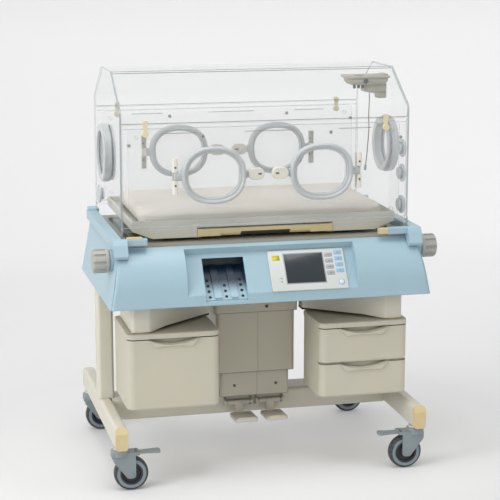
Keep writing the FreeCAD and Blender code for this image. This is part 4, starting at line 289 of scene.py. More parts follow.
def drawer_finish(node):
    """Cream; painted paler inside the scoop, where y is behind the face, as light reaching into it; a painted shadow
    just under the drawer's top edge.
    """
    finish = moulded(node + "_moulding", POD_CREAM, rough=0.50, grain=0.2, yellowing=0.1, edge=0.0025)
    x, y, z = finish.axes()
    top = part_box(node)[1].z
    # Painted light: the inside of the scoop is lightened against the shade that falls in it.
    scoop = (y > FACE_Y) * (abs(abs(x) - SCOOP_X) < SCOOP_REACH) * (z > top - SCOOP_TALL)
    replaced_colour(finish, scoop, SCOOP_LIT_CREAM)
    # Painted shadow: a dark band just under the top edge, for the gap under the lid.
    line = (z < top - EDGE_BARE) * (z > top - EDGE_BARE - LID_GAP_HALF * 2)
    return replaced_colour(finish, line * (1 - scoop), SHADOW_BROWN)


def hanger_finish():
    """Cream, yellowed below the hanger's foot, with a shadow along the foot that fades towards the pivot."""
    finish = moulded("hanger_coating", STAND_CREAM, rough=0.40, yellowing=0.15, edge=0.002)
    x, _, z = finish.axes()
    shadow = ((HANGER_GAP_X - abs(x)) / 0.05).larger(0.0).smaller(1.0) * HANGER_GAP
    replaced_colour(finish, (z - HANGER_PAD_Z) < shadow, SHADOW_BROWN)
    return replaced_colour(finish, z < HANGER_PAD_Z, AGED_CREAM)


def pocket_shade_share(finish):
    """How much painted navy shade a place gets: 0 outside the pocket and at its foot, 1 in its upper half."""
    x, y, z = finish.axes()
    face_y = (z - POCKET_FOOT[1]) * POCKET_LEAN + POCKET_FOOT[0]
    within = (x > POCKET_LEFT) * (x < POCKET_RIGHT) * (y - face_y > 0.0015) * (y < POCKET_BACK_Y)
    climb = ((z - 0.572) / 0.036).larger(0.0).smaller(1.0)
    return within * climb * climb * (3 - climb * 2)


shell_finish = moulded("shell_moulding", SHELL_BLUE, rough=0.38, coat=0.15, edge=0.003)
# Painted shade: the shell is navy in the pocket's deep upper half.
dress(replaced_colour(shell_finish, pocket_shade_share(shell_finish), POCKET_SHADE_NAVY), "base_shell")
dress(cassette_finish(), "xray_tray")
for node in ("drawer_left", "drawer_right_lower", "drawer_right_upper"):
    dress(drawer_finish(node), node)
dress(hanger_finish(), "pod_hangers")

# %% [markdown]
# The column's covers are thin sheet steel, their cream painted darker than the stand's as the shade the pods cast.
# The two lower ones have a seam down the front and the back, read from the place's X. Under each one's folded foot
# runs a painted shadow line, read from the height above the piece's own lowest point.

# %% Column covers
SEAM_X = 0.0065
SEAM_HALF = 0.0007
COVER_FACE_Y = 0.095
FOOT_SHADOW_HEIGHT = 0.0016
# Painted shade: the covers' cream is darker than the stand's, for the pods' shade on the column.
SHADED_COVER_CREAM = rgb(196, 191, 174)


def column_cover(node, seamed):
    """Shaded cream, dark where |x - seam| is under the seam's half width, with a painted shadow along the foot."""
    finish = moulded(node + "_coating", SHADED_COVER_CREAM, rough=0.40, yellowing=0.15)
    x, y, z = finish.axes()
    # Painted shadow: a dark band along the foot, where the cover's fold shades the part below.
    foot = (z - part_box(node)[0].z) < FOOT_SHADOW_HEIGHT
    seam = (abs(x - SEAM_X) < SEAM_HALF) * (abs(y) > COVER_FACE_Y) * seamed
    # Dark joint colour for the seams, and painted shadow for the foot band.
    return replaced_colour(finish, (seam * 0.6).larger(foot * 0.75), rgb(84, 80, 68))


for node, seamed in (("lower_shroud", 1), ("middle_shroud", 1), ("upper_shroud", 0)):
    dress(column_cover(node, seamed), node)

# %% [markdown]
# A caster's wheel is one moulding in three greys: a dark tread, a paler ring on its
# side and a dark hub. The rings are circles round the axle, so the distance from it
# picks the colour. The mask is the same at every turn of the wheel.

# %% Wheels
AXLE_HEIGHT = 0.050
RING_INNER = 0.0335
RING_OUTER = 0.0425


def wheel_finish(name, axle_x):
    """Colour picked by r = sqrt((x - axle)^2 + (z - axle)^2)."""
    finish = moulded("wheel_" + name, rgb(62, 64, 68), rough=0.55, grain=0.3)
    x, _, z = finish.axes()
    radius = ((x - axle_x) ** 2 + (z - AXLE_HEIGHT) ** 2) ** 0.5
    ring = (radius > RING_INNER) * (radius < RING_OUTER)
    tread = radius > RING_OUTER
    scuffs = finish.noise(140, 4)
    dark = finish.mix((scuffs - 0.4) * tread, rgb(52, 54, 58), rgb(120, 120, 118))
    return finish.set(Base_Color=finish.mix(ring, dark, rgb(128, 142, 150)))


for face, side_y in FACES:
    for end, side_x in ENDS:
        node = f"caster_wheel_{face}_{end}"
        low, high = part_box(node)
        dress(wheel_finish(f"{face}_{end}", (low.x + high.x) / 2), node)

# %% [markdown]
# The hood is clear acrylic. Seen flat on, a sheet is almost nothing: a faint reflection.
# Seen at its sawn edge it is grey, because light runs along inside it.
# The object's own normal tells the two apart, and stays right when a door swings.

# %% Clear acrylic
EDGE_GREY = rgb(150, 160, 163)
LINE_GREY = rgb(108, 110, 108)
SHEET_ALPHA = 0.055
EDGE_ALPHA = 0.62


def clear_sheet(name, across, sheet=SHEET_ALPHA, edge=EDGE_ALPHA, tint=(0.66, 0.69, 0.70)):
    """Alpha = a little on a sheet's faces, more at a glancing angle, most on its edges.

    The edges are where the object normal's part along the sheet's own axis is small.
    """
    finish = Finish(name)
    normal = finish.add("ShaderNodeTexCoord", {}, {}, "Normal")
    parts = [finish.add("ShaderNodeSeparateXYZ", {}, {0: normal}, axis) for axis in range(3)]
    flat = abs(parts[across]) if across is not None else 1 - abs(parts[0])
    cut = flat < 0.6
    glance = finish.add("ShaderNodeLayerWeight", {}, {"Blend": 0.25}, "Facing") ** 3
    smear = finish.noise(5, 4)
    alpha = sheet + glance * 0.30 + (smear - 0.5).larger(0.0) * 0.05
    finish.set(Base_Color=finish.mix(cut, tint, EDGE_GREY), Roughness=0.04 + (smear - 0.4).larger(0.0) * 0.15,
               Alpha=alpha * (1 - cut) + cut * edge)
    finish.shader.inputs["IOR"].default_value = 1.49
    return finish


BEND_Y = 0.090
BEND_HALF = 0.0024
ROOF_Z = 1.180
CANOPY_FOOT_Z = 1.0592
LINE_ALPHA = 0.75
END_EDGE_Y = -0.080
BACK_EDGE_SHARE = 0.35


def canopy_finish():
    """Clear, with a grey line along the roof's front bend and along the cut lower edges."""
    finish = clear_sheet("canopy_acrylic", None)
    _, y, z = finish.axes()
    bend = (abs(y + BEND_Y) < BEND_HALF) * (z > ROOF_Z)
    line = bend.larger(z < CANOPY_FOOT_Z)
    replaced_colour(finish, line, LINE_GREY)
    return finish.set(Alpha=finish.current("Alpha").larger(line * LINE_ALPHA))


dress(canopy_finish(), "canopy")


def end_panel_finish():
    """Clear, with the cut edges grey at the front of the hood and faint at its back."""
    finish = clear_sheet("end_acrylic", 0, sheet=0.075, edge=0.80)
    forward = finish.axes()[1] < END_EDGE_Y
    alpha = finish.current("Alpha")
    return finish.set(Alpha=alpha * forward + alpha * (1 - forward) * BACK_EDGE_SHARE)


dress(end_panel_finish(), "end_panels")

# %% [markdown]
# A door is a sheet with soft seals and pale hinge bars on it, all in one node.
# The bars and seals stand in front of the sheet's outer face, so how far out a
# point lies says what it is made of.

# %% Doors
HOOD_HALF_DEPTH = 0.249
DOOR_PORT_Z = 0.908
BAR_X = (0.263, 0.283)
BAR_REACH = 0.053
LINE_HALF = 0.0011
DOOR_LINES = (1.056, 1.044, 0.762)
DOOR_LINE_ALPHA = 0.4
SEAL_GREY = rgb(196, 203, 206)
SEAL_ALPHA = 0.55


def door_finish(name, side_y):
    """Clear within the sheets; cream on the bars beside the ports; grey on the seals and the cut edges."""
    finish = clear_sheet(name, 1)
    x, y, z = finish.axes()
    outside = (y * side_y) > HOOD_HALF_DEPTH + 0.0003
    beside = (abs(x) > BAR_X[0]) * (abs(x) < BAR_X[1]) * (abs(z - DOOR_PORT_Z) < BAR_REACH)
    bar = outside * beside
    lines = abs(z - DOOR_LINES[0]) < LINE_HALF
    for height in DOOR_LINES[1:]:
        lines = lines.larger(abs(z - height) < LINE_HALF)
    clear = finish.current("Alpha")
    trim = finish.mix(bar, SEAL_GREY, LATCH_CREAM)
    solid = outside.larger(bar)
    replaced_colour(finish, solid.larger(lines), trim)
    sheet = (clear * (1 - solid)).larger(lines * DOOR_LINE_ALPHA)
    return finish.set(Alpha=sheet + outside * (1 - bar) * SEAL_ALPHA + bar, Roughness=0.05 + solid * 0.4)


for face, side_y in FACES:
    dress(door_finish(f"{face}_door_acrylic", side_y), f"{face}_door")

# %% [markdown]
# New pieces are built from layers. One outline, a rectangle with round corners, is
# drawn in again and again at different insets and heights; skins join the layers and
# flat caps close the ends. A plate, a key, a screw and a pane are all such stacks.

# %% Layered pieces
CORNER_STEPS = 8


def rounded_outline(half_u, half_v, corner, steps=CORNER_STEPS):
    """Points round a rectangle: each corner's centre plus radius times (cos, sin) over a quarter turn."""
    corner = min(corner, half_u, half_v)
    quarter = np.linspace(0, math.pi / 2, steps)
    angles = np.concatenate([quarter + math.pi / 2 * index for index in range(4)])
    sign_u = np.repeat([1, -1, -1, 1], steps)
    sign_v = np.repeat([1, 1, -1, -1], steps)
    u = sign_u * (half_u - corner) + corner * np.cos(angles)
    v = sign_v * (half_v - corner) + corner * np.sin(angles)
    return np.stack([u, v], 1)


def skin(rows, columns, closed_rows=False):
    """The faces of a grid whose rows are closed rings; the last row joins the first if asked."""
    row, column = np.meshgrid(np.arange(rows if closed_rows else rows - 1), np.arange(columns), indexing="ij")
    ahead = (column + 1) % columns
    above = (row + 1) % rows
    quads = np.stack([row * columns + column, row * columns + ahead, above * columns + ahead,
                      above * columns + column], -1)
    return quads.reshape(-1, 4)


def piece(name, points, faces, finish, body, smooth=True):
    """Make a mesh object from arrays, with its faces in the order given, and let it ride on a body."""
    mesh = bpy.data.meshes.new(name)
    mesh.from_pydata(np.asarray(points, float).tolist(), [], [list(map(int, face)) for face in faces])
    mesh.materials.append(finish.material)
    mesh.polygons.foreach_set("use_smooth", [smooth] * len(mesh.polygons))
    obj = bpy.data.objects.new(name, mesh)
    bpy.context.scene.collection.objects.link(obj)
    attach(obj, body)
    return obj


def layered(name, centre, axes, half, corner, layers, finish, body, steps=CORNER_STEPS):
    """Stack the outline in layers (inset, height) and cap both ends.

    A point is centre + u * first axis + v * second axis + height * third axis.
    """
    first, second, third = (np.array(axis, float) for axis in axes)
    rings = []
    for inset, height in layers:
        flat = rounded_outline(half[0] - inset, half[1] - inset, max(corner - inset, 1e-5), steps)
        rings.append(np.array(centre) + flat[:, :1] * first + flat[:, 1:] * second + height * third)
    count = 4 * steps
    faces = skin(len(layers), count).tolist()
    last = (len(layers) - 1) * count
    faces.append(list(range(count))[::-1])
    faces.append([last + index for index in range(count)])
    obj = piece(name, np.concatenate(rings), faces, finish, body)
    turn = np.dot(np.cross(first, second), third)
    rising = layers[-1][1] > layers[0][1]
    if (turn > 0) != rising:
        obj.data.flip_normals()
    return obj


FRONT = ((1, 0, 0), (0, 0, 1), (0, -1, 0))
BACK = ((-1, 0, 0), (0, 0, 1), (0, 1, 0))

# %% [markdown]
# The hand ports are the hood's most visible part: thick oval rings in translucent
# blue-grey, with a rolled outer edge, a shallow groove and an inner bead that holds
# the pane. A ring is a profile carried round the oval |u / a|^n + |v / b|^n = 1, a
# little squarer than an ellipse; pushing a point outwards adds to both a and b.

# %% Port rings
PORT_X = 0.160
PORT_Z = 0.908
PORT_HALF = (0.094, 0.083)
PORT_CORNER = 0.070
RING_WIDTH = 0.016
OVAL_POWER = 2.3
RING_BACK = HOOD_HALF_DEPTH + 0.0033
RING_STEPS = 96


def translucent(name, colour, alpha):
    """A slightly see-through moulding: clouded colour and an alpha that rises at a glancing angle."""
    finish = moulded(name, colour, rough=0.28, grain=0.05, coat=0.3)
    glance = finish.add("ShaderNodeLayerWeight", {}, {"Blend": 0.4}, "Facing")
    return finish.set(Alpha=alpha + glance * (1 - alpha))


ring_finish = translucent("ring_moulding", RING_BLUE, 0.78)
pane_finish = clear_sheet("pane_acrylic", 1, sheet=0.10, edge=0.3)


def ring_profile():
    """The ring's section as (out, forward): a closed loop with rolled edges, a groove and a bead."""
    corners = np.array([(-19, 1), (-19, 14.5), (-17.4, 16.8), (-14.4, 17.2), (-12.6, 16.2), (-11.6, 17.2),
                        (-10, 20.4), (-7, 22), (-3.6, 21.6), (-1.4, 19.4), (-0.2, 15.6), (0, 8), (-0.6, 1.4), (-2, 0),
                        (-17, 0)]) * MM
    return corners


def port_ring(name, centre_x, side_y, finish, body):
    """Sweep the section round the oval: u = (a + out) cos^(2/n), v = (b + out) sin^(2/n)."""
    section = ring_profile()
    angles = np.arange(RING_STEPS) * 2 * math.pi / RING_STEPS
    across = np.sign(np.cos(angles)) * np.abs(np.cos(angles)) ** (2 / OVAL_POWER)
    upward = np.sign(np.sin(angles)) * np.abs(np.sin(angles)) ** (2 / OVAL_POWER)
    out = section[:, 0][:, None]
    x = centre_x + (PORT_HALF[0] + out) * across
    z = PORT_Z + (PORT_HALF[1] + out) * upward
    y = side_y * (RING_BACK + section[:, 1][:, None]) + np.zeros_like(x)
    points = np.stack([x, y, z], -1).reshape(-1, 3)
    faces = skin(len(section), len(angles), closed_rows=True)
    obj = piece(name, points, faces, finish, body)
    if side_y > 0:
        obj.data.flip_normals()
    bevel = obj.modifiers.new("rounding", "SUBSURF")
    bevel.levels = 1
    bevel.render_levels = 1
    return obj


PANE_FORWARD = 0.009
HINGE_REACH = 0.113
CATCH_REACH = 0.099
EAR_HALF = 0.012
PANE_HALF = (PORT_HALF[0] - RING_WIDTH + 0.001, PORT_HALF[1] - RING_WIDTH + 0.001)

for face, side_y in FACES:
    for end, side_x in ENDS:
        place = f"{face}_{end}"
        body = "port_" + place
        axes = FRONT if side_y < 0 else BACK
        centre_x = side_x * PORT_X
        ring = port_ring("port_ring_" + place, centre_x, side_y, ring_finish, body)
        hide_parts("port_door_" + place)
        layered("port_pane_" + place, (centre_x, side_y * (RING_BACK + PANE_FORWARD), PORT_Z), axes, PANE_HALF,
                PORT_CORNER - RING_WIDTH, [(0, 0), (0, 0.0032), (0.0006, 0.004)], pane_finish, body, 12)
        ear_x = side_x * (PORT_X + (PORT_HALF[0] - 0.004 + HINGE_REACH) / 2)
        layered("port_knuckle_" + place, (ear_x, side_y * (RING_BACK + 0.002), PORT_Z), axes,
                ((HINGE_REACH - PORT_HALF[0] + 0.010) / 2, EAR_HALF), 0.004,
                [(0.001, 0), (0, 0.001), (0, 0.009), (0.002, 0.0115)], ring_finish, body)
        catch_x = side_x * (PORT_X - (PORT_HALF[0] - 0.004 + CATCH_REACH) / 2)
        layered("port_catch_" + place, (catch_x, side_y * (RING_BACK + 0.002), PORT_Z), axes,
                ((CATCH_REACH - PORT_HALF[0] + 0.004) / 2, EAR_HALF), 0.003,
                [(0.001, 0), (0, 0.001), (0, 0.008), (0.0015, 0.010)], ring_finish, body)
print("port rings", RING_STEPS * len(ring_profile()), "points each")

# %% [markdown]
# Beside each port sits a pale oval push button with a small dark slot near its end,
# and at each door's top corners a yellowed turning latch. Their solids are right, so
# they only need finishes; the slot is a dark oval in the colour.

# %% Latches
LATCH_X = 0.036
SLOT_SHIFT = 0.010
SLOT_HALF = (0.006, 0.0028)


def latch_finish(name, side_x):
    """Cream, dark where ((x - slot) / half width)^2 + ((z - port) / half height)^2 is under 1."""
    finish = moulded("latch_" + name, LATCH_CREAM, rough=0.35, coat=0.2, yellowing=0.1)
    x, _, z = finish.axes()
    across = (x - side_x * (LATCH_X - SLOT_SHIFT)) / SLOT_HALF[0]
    upward = (z - PORT_Z) / SLOT_HALF[1]
    slot = (across ** 2 + upward ** 2) < 1
    return replaced_colour(finish, slot, rgb(84, 92, 98))


for end, side_x in ENDS:
    dress(latch_finish(end, side_x), f"port_latch_front_{end}", f"port_latch_back_{end}")
aged_finish = moulded("turner_moulding", rgb(222, 213, 180), rough=0.4, yellowing=0.3)
dress(aged_finish, *[name for name in nodes if name.startswith("turn_latch")])

# %% [markdown]
# Each end of the hood has a round port in the same blue-grey, and soft plugs for
# tubing. They share a node. The port's clear pane is inside the ring, so the
# distance from the port's middle picks clear or moulded.

# %% End ports
END_PORT_Y = -0.020
END_PORT_Z = 0.950
END_PANE_RADIUS = 0.0645
END_PLUG_REACH = 0.095
PANE_ALPHA = 0.14
PLUG_ALPHA = 0.62
PLUG_GREY = rgb(196, 204, 206)


def end_port_finish():
    """Clear where the distance from the port's middle is under the pane's radius."""
    finish = translucent("end_port_moulding", RING_BLUE, PLUG_ALPHA)
    _, y, z = finish.axes()
    radius = ((y - END_PORT_Y) ** 2 + (z - END_PORT_Z) ** 2) ** 0.5
    pane = radius < END_PANE_RADIUS
    plug = radius > END_PLUG_REACH
    replaced_colour(finish, plug, PLUG_GREY)
    return finish.set(Alpha=finish.current("Alpha") * (1 - pane) * (1 - plug) + pane * PANE_ALPHA + plug * PLUG_ALPHA)


dress(end_port_finish(), "end_ports")

# %% [markdown]
# The control panel lies on the recess's sloping face: a white plate with a dark
# screen, two columns of membrane keys, a round key and a bare yellow tag.
# Each is a thin layered plate, placed by its distance up the slope.

# %% Control panel
RECESS_FOOT = np.array([0.0, -0.338, 0.571])
RECESS_HEAD = np.array([0.0, -0.262, 0.680])
SLOPE = RECESS_HEAD - RECESS_FOOT
SLOPE_LENGTH = float(np.linalg.norm(SLOPE))
UP_SLOPE = SLOPE / SLOPE_LENGTH
OFF_SLOPE = np.array([0.0, -UP_SLOPE[2], UP_SLOPE[1]])
PANEL_AXES = ((1, 0, 0), tuple(UP_SLOPE), tuple(OFF_SLOPE))


def panel_plate(name, left, right, foot, head, base, thick, corner, finish):
    """A rounded plate on the slope: x from left to right, from foot to head up the slope."""
    centre = RECESS_FOOT + np.array([(left + right) / 2, 0, 0]) + UP_SLOPE * (foot + head) / 2 + OFF_SLOPE * base
    half = ((right - left) / 2, (head - foot) / 2)
    round_over = min(thick * 0.45, 0.0006)
    layers = [(0, 0), (0, thick - round_over), (round_over * 0.3, thick - round_over * 0.3), (round_over, thick)]
    return layered(name, centre, PANEL_AXES, half, corner, layers, finish, "chassis")


PANEL_LEFT = -0.005
PANEL_RIGHT = 0.223
PANEL_MARGIN = 0.003
PANEL_THICK = 0.004
SCREEN_LEFT = 0.042
SCREEN_RIGHT = 0.157
SCREEN_FOOT = 0.026
SCREEN_HEAD = SLOPE_LENGTH - 0.016
KEY_WIDTH = 0.024
KEY_HEIGHT = 0.013
KEY_PITCH = 0.019
KEY_THICK = 0.0009
MARK_HALF = 0.0035

bezel_white = moulded("panel_white", rgb(212, 216, 212), rough=0.35, grain=0.08)
key_grey = moulded("key_grey", rgb(168, 174, 176), rough=0.4)
key_blue = moulded("key_blue", rgb(150, 192, 220), rough=0.4)
tag_yellow = moulded("tag_yellow", rgb(232, 218, 40), rough=0.4)
mark_grey = moulded("mark_grey", rgb(120, 126, 132), rough=0.4)
key_face = moulded("key_face", rgb(214, 224, 230), rough=0.35)


def screen_glass():
    """A dark panel whose colour lifts a little towards its top, a painted reflection, under a glossy coat."""
    finish = Finish("screen_glass")
    _, _, z = finish.axes()
    # Painted reflection: the colour lightens towards the top of the screen.
    share = (z - RECESS_FOOT[2]) / (RECESS_HEAD[2] - RECESS_FOOT[2])
    smudge = finish.noise(30, 3)
    finish.set(Base_Color=finish.mix(share, rgb(34, 41, 46), rgb(40, 48, 53)),
               Roughness=0.16 + (smudge - 0.4).larger(0.0) * 0.3)
    finish.shader.inputs["Coat Weight"].default_value = 0.25
    return finish


bezel = panel_plate("panel_bezel_plate", PANEL_LEFT, PANEL_RIGHT, PANEL_MARGIN, SLOPE_LENGTH - PANEL_MARGIN, 0.0,
                    PANEL_THICK, 0.003, bezel_white)
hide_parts("control_panel")
glass = screen_glass()
panel_plate("screen_surround", SCREEN_LEFT - 0.003, SCREEN_RIGHT + 0.003, SCREEN_FOOT - 0.003, SCREEN_HEAD + 0.003,
            PANEL_THICK, 0.0004, 0.001, key_grey)
panel_plate("screen", SCREEN_LEFT, SCREEN_RIGHT, SCREEN_FOOT, SCREEN_HEAD, PANEL_THICK, 0.0007, 0.0005, glass)
for column, finish in enumerate((key_grey, key_blue)):
    left = SCREEN_RIGHT + 0.007 + column * (KEY_WIDTH + 0.005)
    for row in range(4):
        head = SCREEN_HEAD + 0.006 * column - row * KEY_PITCH
        panel_plate(f"key_{column}_{row}", left, left + KEY_WIDTH, head - KEY_HEIGHT, head, PANEL_THICK, KEY_THICK,
                    0.002, finish)
        panel_plate(f"key_mark_{column}_{row}", left + KEY_WIDTH / 2 - MARK_HALF, left + KEY_WIDTH / 2 + MARK_HALF,
                    head - KEY_HEIGHT / 2 - 0.0008, head - KEY_HEIGHT / 2 + 0.0008, PANEL_THICK + KEY_THICK, 0.0002,
                    0.0008, mark_grey)
round_x = SCREEN_RIGHT + 0.007 + KEY_WIDTH * 1.5 + 0.005
for index, (radius, finish) in enumerate(((0.0095, key_blue), (0.0072, key_face))):
    panel_plate(f"round_key_{index}", round_x - radius, round_x + radius, 0.0232 - radius, 0.0232 + radius,
                PANEL_THICK + index * 0.0007, 0.0007, radius, finish)
panel_plate("blank_tag", 0.006, 0.029, 0.0985, 0.1145, PANEL_THICK, 0.0003, 0.0006, tag_yellow)
for row in range(2):
    for column in range(2):
        left = 0.015 + column * 0.009
        foot = 0.030 + row * 0.011
        panel_plate(f"indicator_{row}_{column}", left, left + 0.0045, foot, foot + 0.0032, PANEL_THICK, 0.0005,
                    0.0012, mark_grey if column else key_face)

# %% [markdown]
# The pocket beside it takes the plugs of the sensors. Its floor is a lighter blue
# insert with raised ribs, which the solids show, and rows of round sockets, each a
# small dark disc laid on the insert.

# %% Sensor pocket
DOCK_LEFT = -0.200
DOCK_RIGHT = -0.078
DOCK_FOOT = np.array([0.0, -0.335, 0.554])
DOCK_HEAD = np.array([0.0, -0.236, 0.640])
SOCKET_PITCH = 0.020
SOCKET_RADIUS = 0.0042
SOCKET_START = 0.014
DOCK_RIB = 0.022
DOCK_SIDE_GAP = 0.0003
DOCK_THICK = 0.0041

dock_finish = moulded("dock_blue", rgb(162, 192, 204), rough=0.4, edge=0.001)
# Painted shade: the dock takes the same navy in the pocket's deep upper half.
dress(replaced_colour(dock_finish, pocket_shade_share(dock_finish), POCKET_SHADE_NAVY), "sensor_dock")
socket_dark = moulded("socket_dark", rgb(26, 30, 36), rough=0.6)
dock_slope = DOCK_HEAD - DOCK_FOOT
dock_up = dock_slope / np.linalg.norm(dock_slope)
dock_off = np.array([0.0, -dock_up[2], dock_up[1]])
lane = (DOCK_RIGHT - DOCK_LEFT - DOCK_SIDE_GAP * 2 - DOCK_RIB * 2) / 3
for index in range(3):
    lane_x = DOCK_LEFT + DOCK_SIDE_GAP + index * (lane + DOCK_RIB) + lane / 2
    for row in range(4 - index % 2):
        centre = DOCK_FOOT + np.array([lane_x, 0, DOCK_SIDE_GAP]) + dock_up * (SOCKET_START + row * SOCKET_PITCH)
        centre = centre + dock_off * DOCK_THICK
        layered(f"socket_{index}_{row}", centre, ((1, 0, 0), tuple(dock_up), tuple(dock_off)),
                (SOCKET_RADIUS, SOCKET_RADIUS), SOCKET_RADIUS, [(0, 0), (0, 0.0004), (0.001, 0.0006)], socket_dark,
                "chassis", 6)

# %% [markdown]
# Screws and small buttons hold the covers. A screw is a stack of circles: a low dome,
# then a step down into its socket, which ends in a flat floor.

# %% Screws
screw_steel = moulded("screw_steel", rgb(120, 120, 114), rough=0.3)
screw_steel.shader.inputs["Metallic"].default_value = 0.8
button_dark = moulded("button_dark", rgb(74, 76, 74), rough=0.5)


def screw(name, centre, axes, radius, body, finish=screw_steel, proud=0.35):
    """Layers of (inset, height), all as shares of the head's radius."""
    shares = [(0, 0), (0, proud * 0.4), (0.18, proud * 0.85), (0.42, proud), (0.48, proud), (0.5, proud * 0.35)]
    layers = [(radius * inset, radius * height) for inset, height in shares]
    return layered(name, centre, axes, (radius, radius), radius, layers, finish, body, 5)


STUD_PLACES = ((0.190, 1.020), (0.403, 0.999))
CLIP_SPANS = ((-0.312, -0.212), (-0.066, 0.082), (0.215, 0.313))
CLIP_Z = 1.030
stud_pale = translucent("stud_pale", rgb(170, 171, 164), 0.7)
clip_grey = translucent("clip_grey", rgb(160, 158, 148), 0.5)
LOWER_COVER_Y = -0.100
for index, x in enumerate((-0.064, 0.066)):
    screw(f"cover_screw_{index}", (x, LOWER_COVER_Y, 0.232), FRONT, 0.0048, "stand")
screw("upper_cover_button", (0.032, -0.119, 0.480), FRONT, 0.0050, "chassis", button_dark)
for face, side_y in FACES:
    for end, side_x in ENDS:
        axes = FRONT if side_y < 0 else BACK
        place = f"{face}_{end}"
        for index, side_z in enumerate((-1, 1)):
            centre = (side_x * 0.273, side_y * (HOOD_HALF_DEPTH + 0.0183), PORT_Z + side_z * 0.026)
            screw(f"hinge_screw_{place}_{index}", centre, axes, 0.0032, f"{face}_door")
        for index, (x, z) in enumerate(STUD_PLACES):
            centre = (side_x * x, side_y * HOOD_HALF_DEPTH, z)
            screw(f"stud_{place}_{index}", centre, axes, 0.0056, f"{face}_door", stud_pale, 0.8)
    for index, (left, right) in enumerate(CLIP_SPANS):
        centre = ((left + right) / 2, side_y * HOOD_HALF_DEPTH, CLIP_Z)
        layered(f"clip_{face}_{index}", centre, FRONT if side_y < 0 else BACK, ((right - left) / 2, 0.0011), 0.001,
                [(0, 0), (0, 0.001), (0.0004, 0.0014)], clip_grey, f"{face}_door", 4)

# %% [markdown]
# Two small assemblies are seen closely enough to be built anew. The sensor module is a
# thin plate over a shallow case, with a step, a plug and an arm for the lead below it.
# A foot pedal is a level tread on an arm that hangs from a hub.

# %% Sensor module and pedals
UP = ((1, 0, 0), (0, 1, 0), (0, 0, 1))
ALONG_X = ((0, 1, 0), (0, 0, 1), (1, 0, 0))
module_finish = moulded("module_moulding", rgb(172, 169, 155), rough=0.45, yellowing=0.15, edge=0.0008)


def upright_box(name, low, high, corner, inset, finish, body):
    """A box standing on its foot, with round corners in plan and its foot and head drawn in."""
    low, high = np.array(low), np.array(high)
    middle = ((low[0] + high[0]) / 2, (low[1] + high[1]) / 2, low[2])
    tall = high[2] - low[2]
    edge = min(0.0015, tall / 4)
    layers = [(inset, 0), (inset * 0.3, min(inset, tall / 3)), (0, tall * 0.5), (0, tall - edge), (edge, tall)]
    half = ((high[0] - low[0]) / 2, (high[1] - low[1]) / 2)
    return layered(name, middle, UP, half, corner, layers, finish, body)


MODULE_BOXES = {
    "module_plate": ((0.289, -0.094, 1.157), (0.4228, -0.004, 1.164), 0.010, 0.002),
    "module_case": ((0.297, -0.090, 1.137), (0.418, -0.008, 1.157), 0.014, 0.010),
    "module_step": ((0.350, -0.070, 1.114), (0.419, -0.016, 1.139), 0.006, 0.003),
    "module_plug": ((0.392, -0.062, 1.094), (0.421, -0.028, 1.116), 0.004, 0.002),
    "module_arm": ((0.403, -0.020, 1.100), (0.421, 0.092, 1.136), 0.005, 0.003),
    "module_bracket": ((0.405, -0.070, 1.146), (0.4228, -0.024, 1.168), 0.003, 0.001),
}
for name, (low, high, corner, inset) in MODULE_BOXES.items():
    box = upright_box(name, low, high, corner, inset, module_finish, "hood")
    if name == "module_case":
        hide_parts("sensor_module")
for index in range(3):
    left = 0.310 + index * 0.013
    upright_box(f"module_jack_{index}", (left, -0.080, 1.127), (left + 0.008, -0.070, 1.140), 0.003, 0.001,
                button_dark, "hood")
screw("module_knob", (0.345, -0.0905, 1.149), FRONT, 0.0078, "hood", button_dark, 0.6)
upright_box("module_vent", (0.320, -0.060, 1.1635), (0.350, -0.048, 1.1648), 0.004, 0.0002, button_dark, "hood")

TREAD_SLOPE = ((1, 0, 0), (0, 0.9987, -0.05), (0, 0.05, 0.9987))
ARM_SLOPE = ((1, 0, 0), (0, 0.24, 0.971), (0, -0.971, 0.24))
TREADS = (("pedal_lower", -0.038, 0.036), ("pedal_raise", 0.057, 0.034))
PEDAL_PIVOT = (-0.062, 0.168)
HUB_HALF = 0.034
pedal_finish = moulded("pedal_moulding", rgb(226, 221, 206), rough=0.5, yellowing=0.2)
for node, centre_x, half in TREADS:
    tread = layered(node + "_tread", (centre_x, -0.114, 0.128), TREAD_SLOPE, (half, 0.044), 0.009,
                    [(0.003, 0), (0, 0.003), (0, 0.010), (0.003, 0.013)], pedal_finish, node)
    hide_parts(node)
    layered(node + "_lip", (centre_x, -0.152, 0.1395), TREAD_SLOPE, (half - 0.008, 0.004), 0.003,
            [(0, 0), (0, 0.004), (0.002, 0.006)], pedal_finish, node)
    low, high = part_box(node)
    hub_x = (low.x + high.x) / 2
    layered(node + "_hub", (hub_x, *PEDAL_PIVOT), ALONG_X, (0.007, 0.007), 0.007,
            [(0.001, -HUB_HALF), (0, 0.001 - HUB_HALF), (0, HUB_HALF - 0.001), (0.001, HUB_HALF)],
            pedal_finish, node)
    layered(node + "_arm", (hub_x, -0.0635, 0.152), ARM_SLOPE, (0.012, 0.021), 0.004,
            [(0.001, 0), (0, 0.001), (0, 0.009), (0.001, 0.010)], pedal_finish, node)

# %% [markdown]
# Behind each finger scoop the drawer's wall shows, painted pale as light reaching into the scoop.

# %% Drawer scoops
SCOOP_HALF = (0.081, 0.010)
SCOOP_BACK_Y = -0.2650
# Painted light: the plates are paler than the drawer to lift the scoop's shade.
scoop_finish = moulded("scoop_moulding", SCOOP_LIT_CREAM, rough=0.5)
for body, side_x, scoop_z in (("drawer_left", -1, 0.4285), ("drawer_right_upper", 1, 0.4285),
                              ("drawer_right_lower", 1, 0.3205)):
    layered(f"scoop_back_{body}", (side_x * SCOOP_X, SCOOP_BACK_Y, scoop_z), FRONT, SCOOP_HALF, 0.004,
            [(0, 0), (0, 0.0006), (0.0002, 0.0008)], scoop_finish, body)

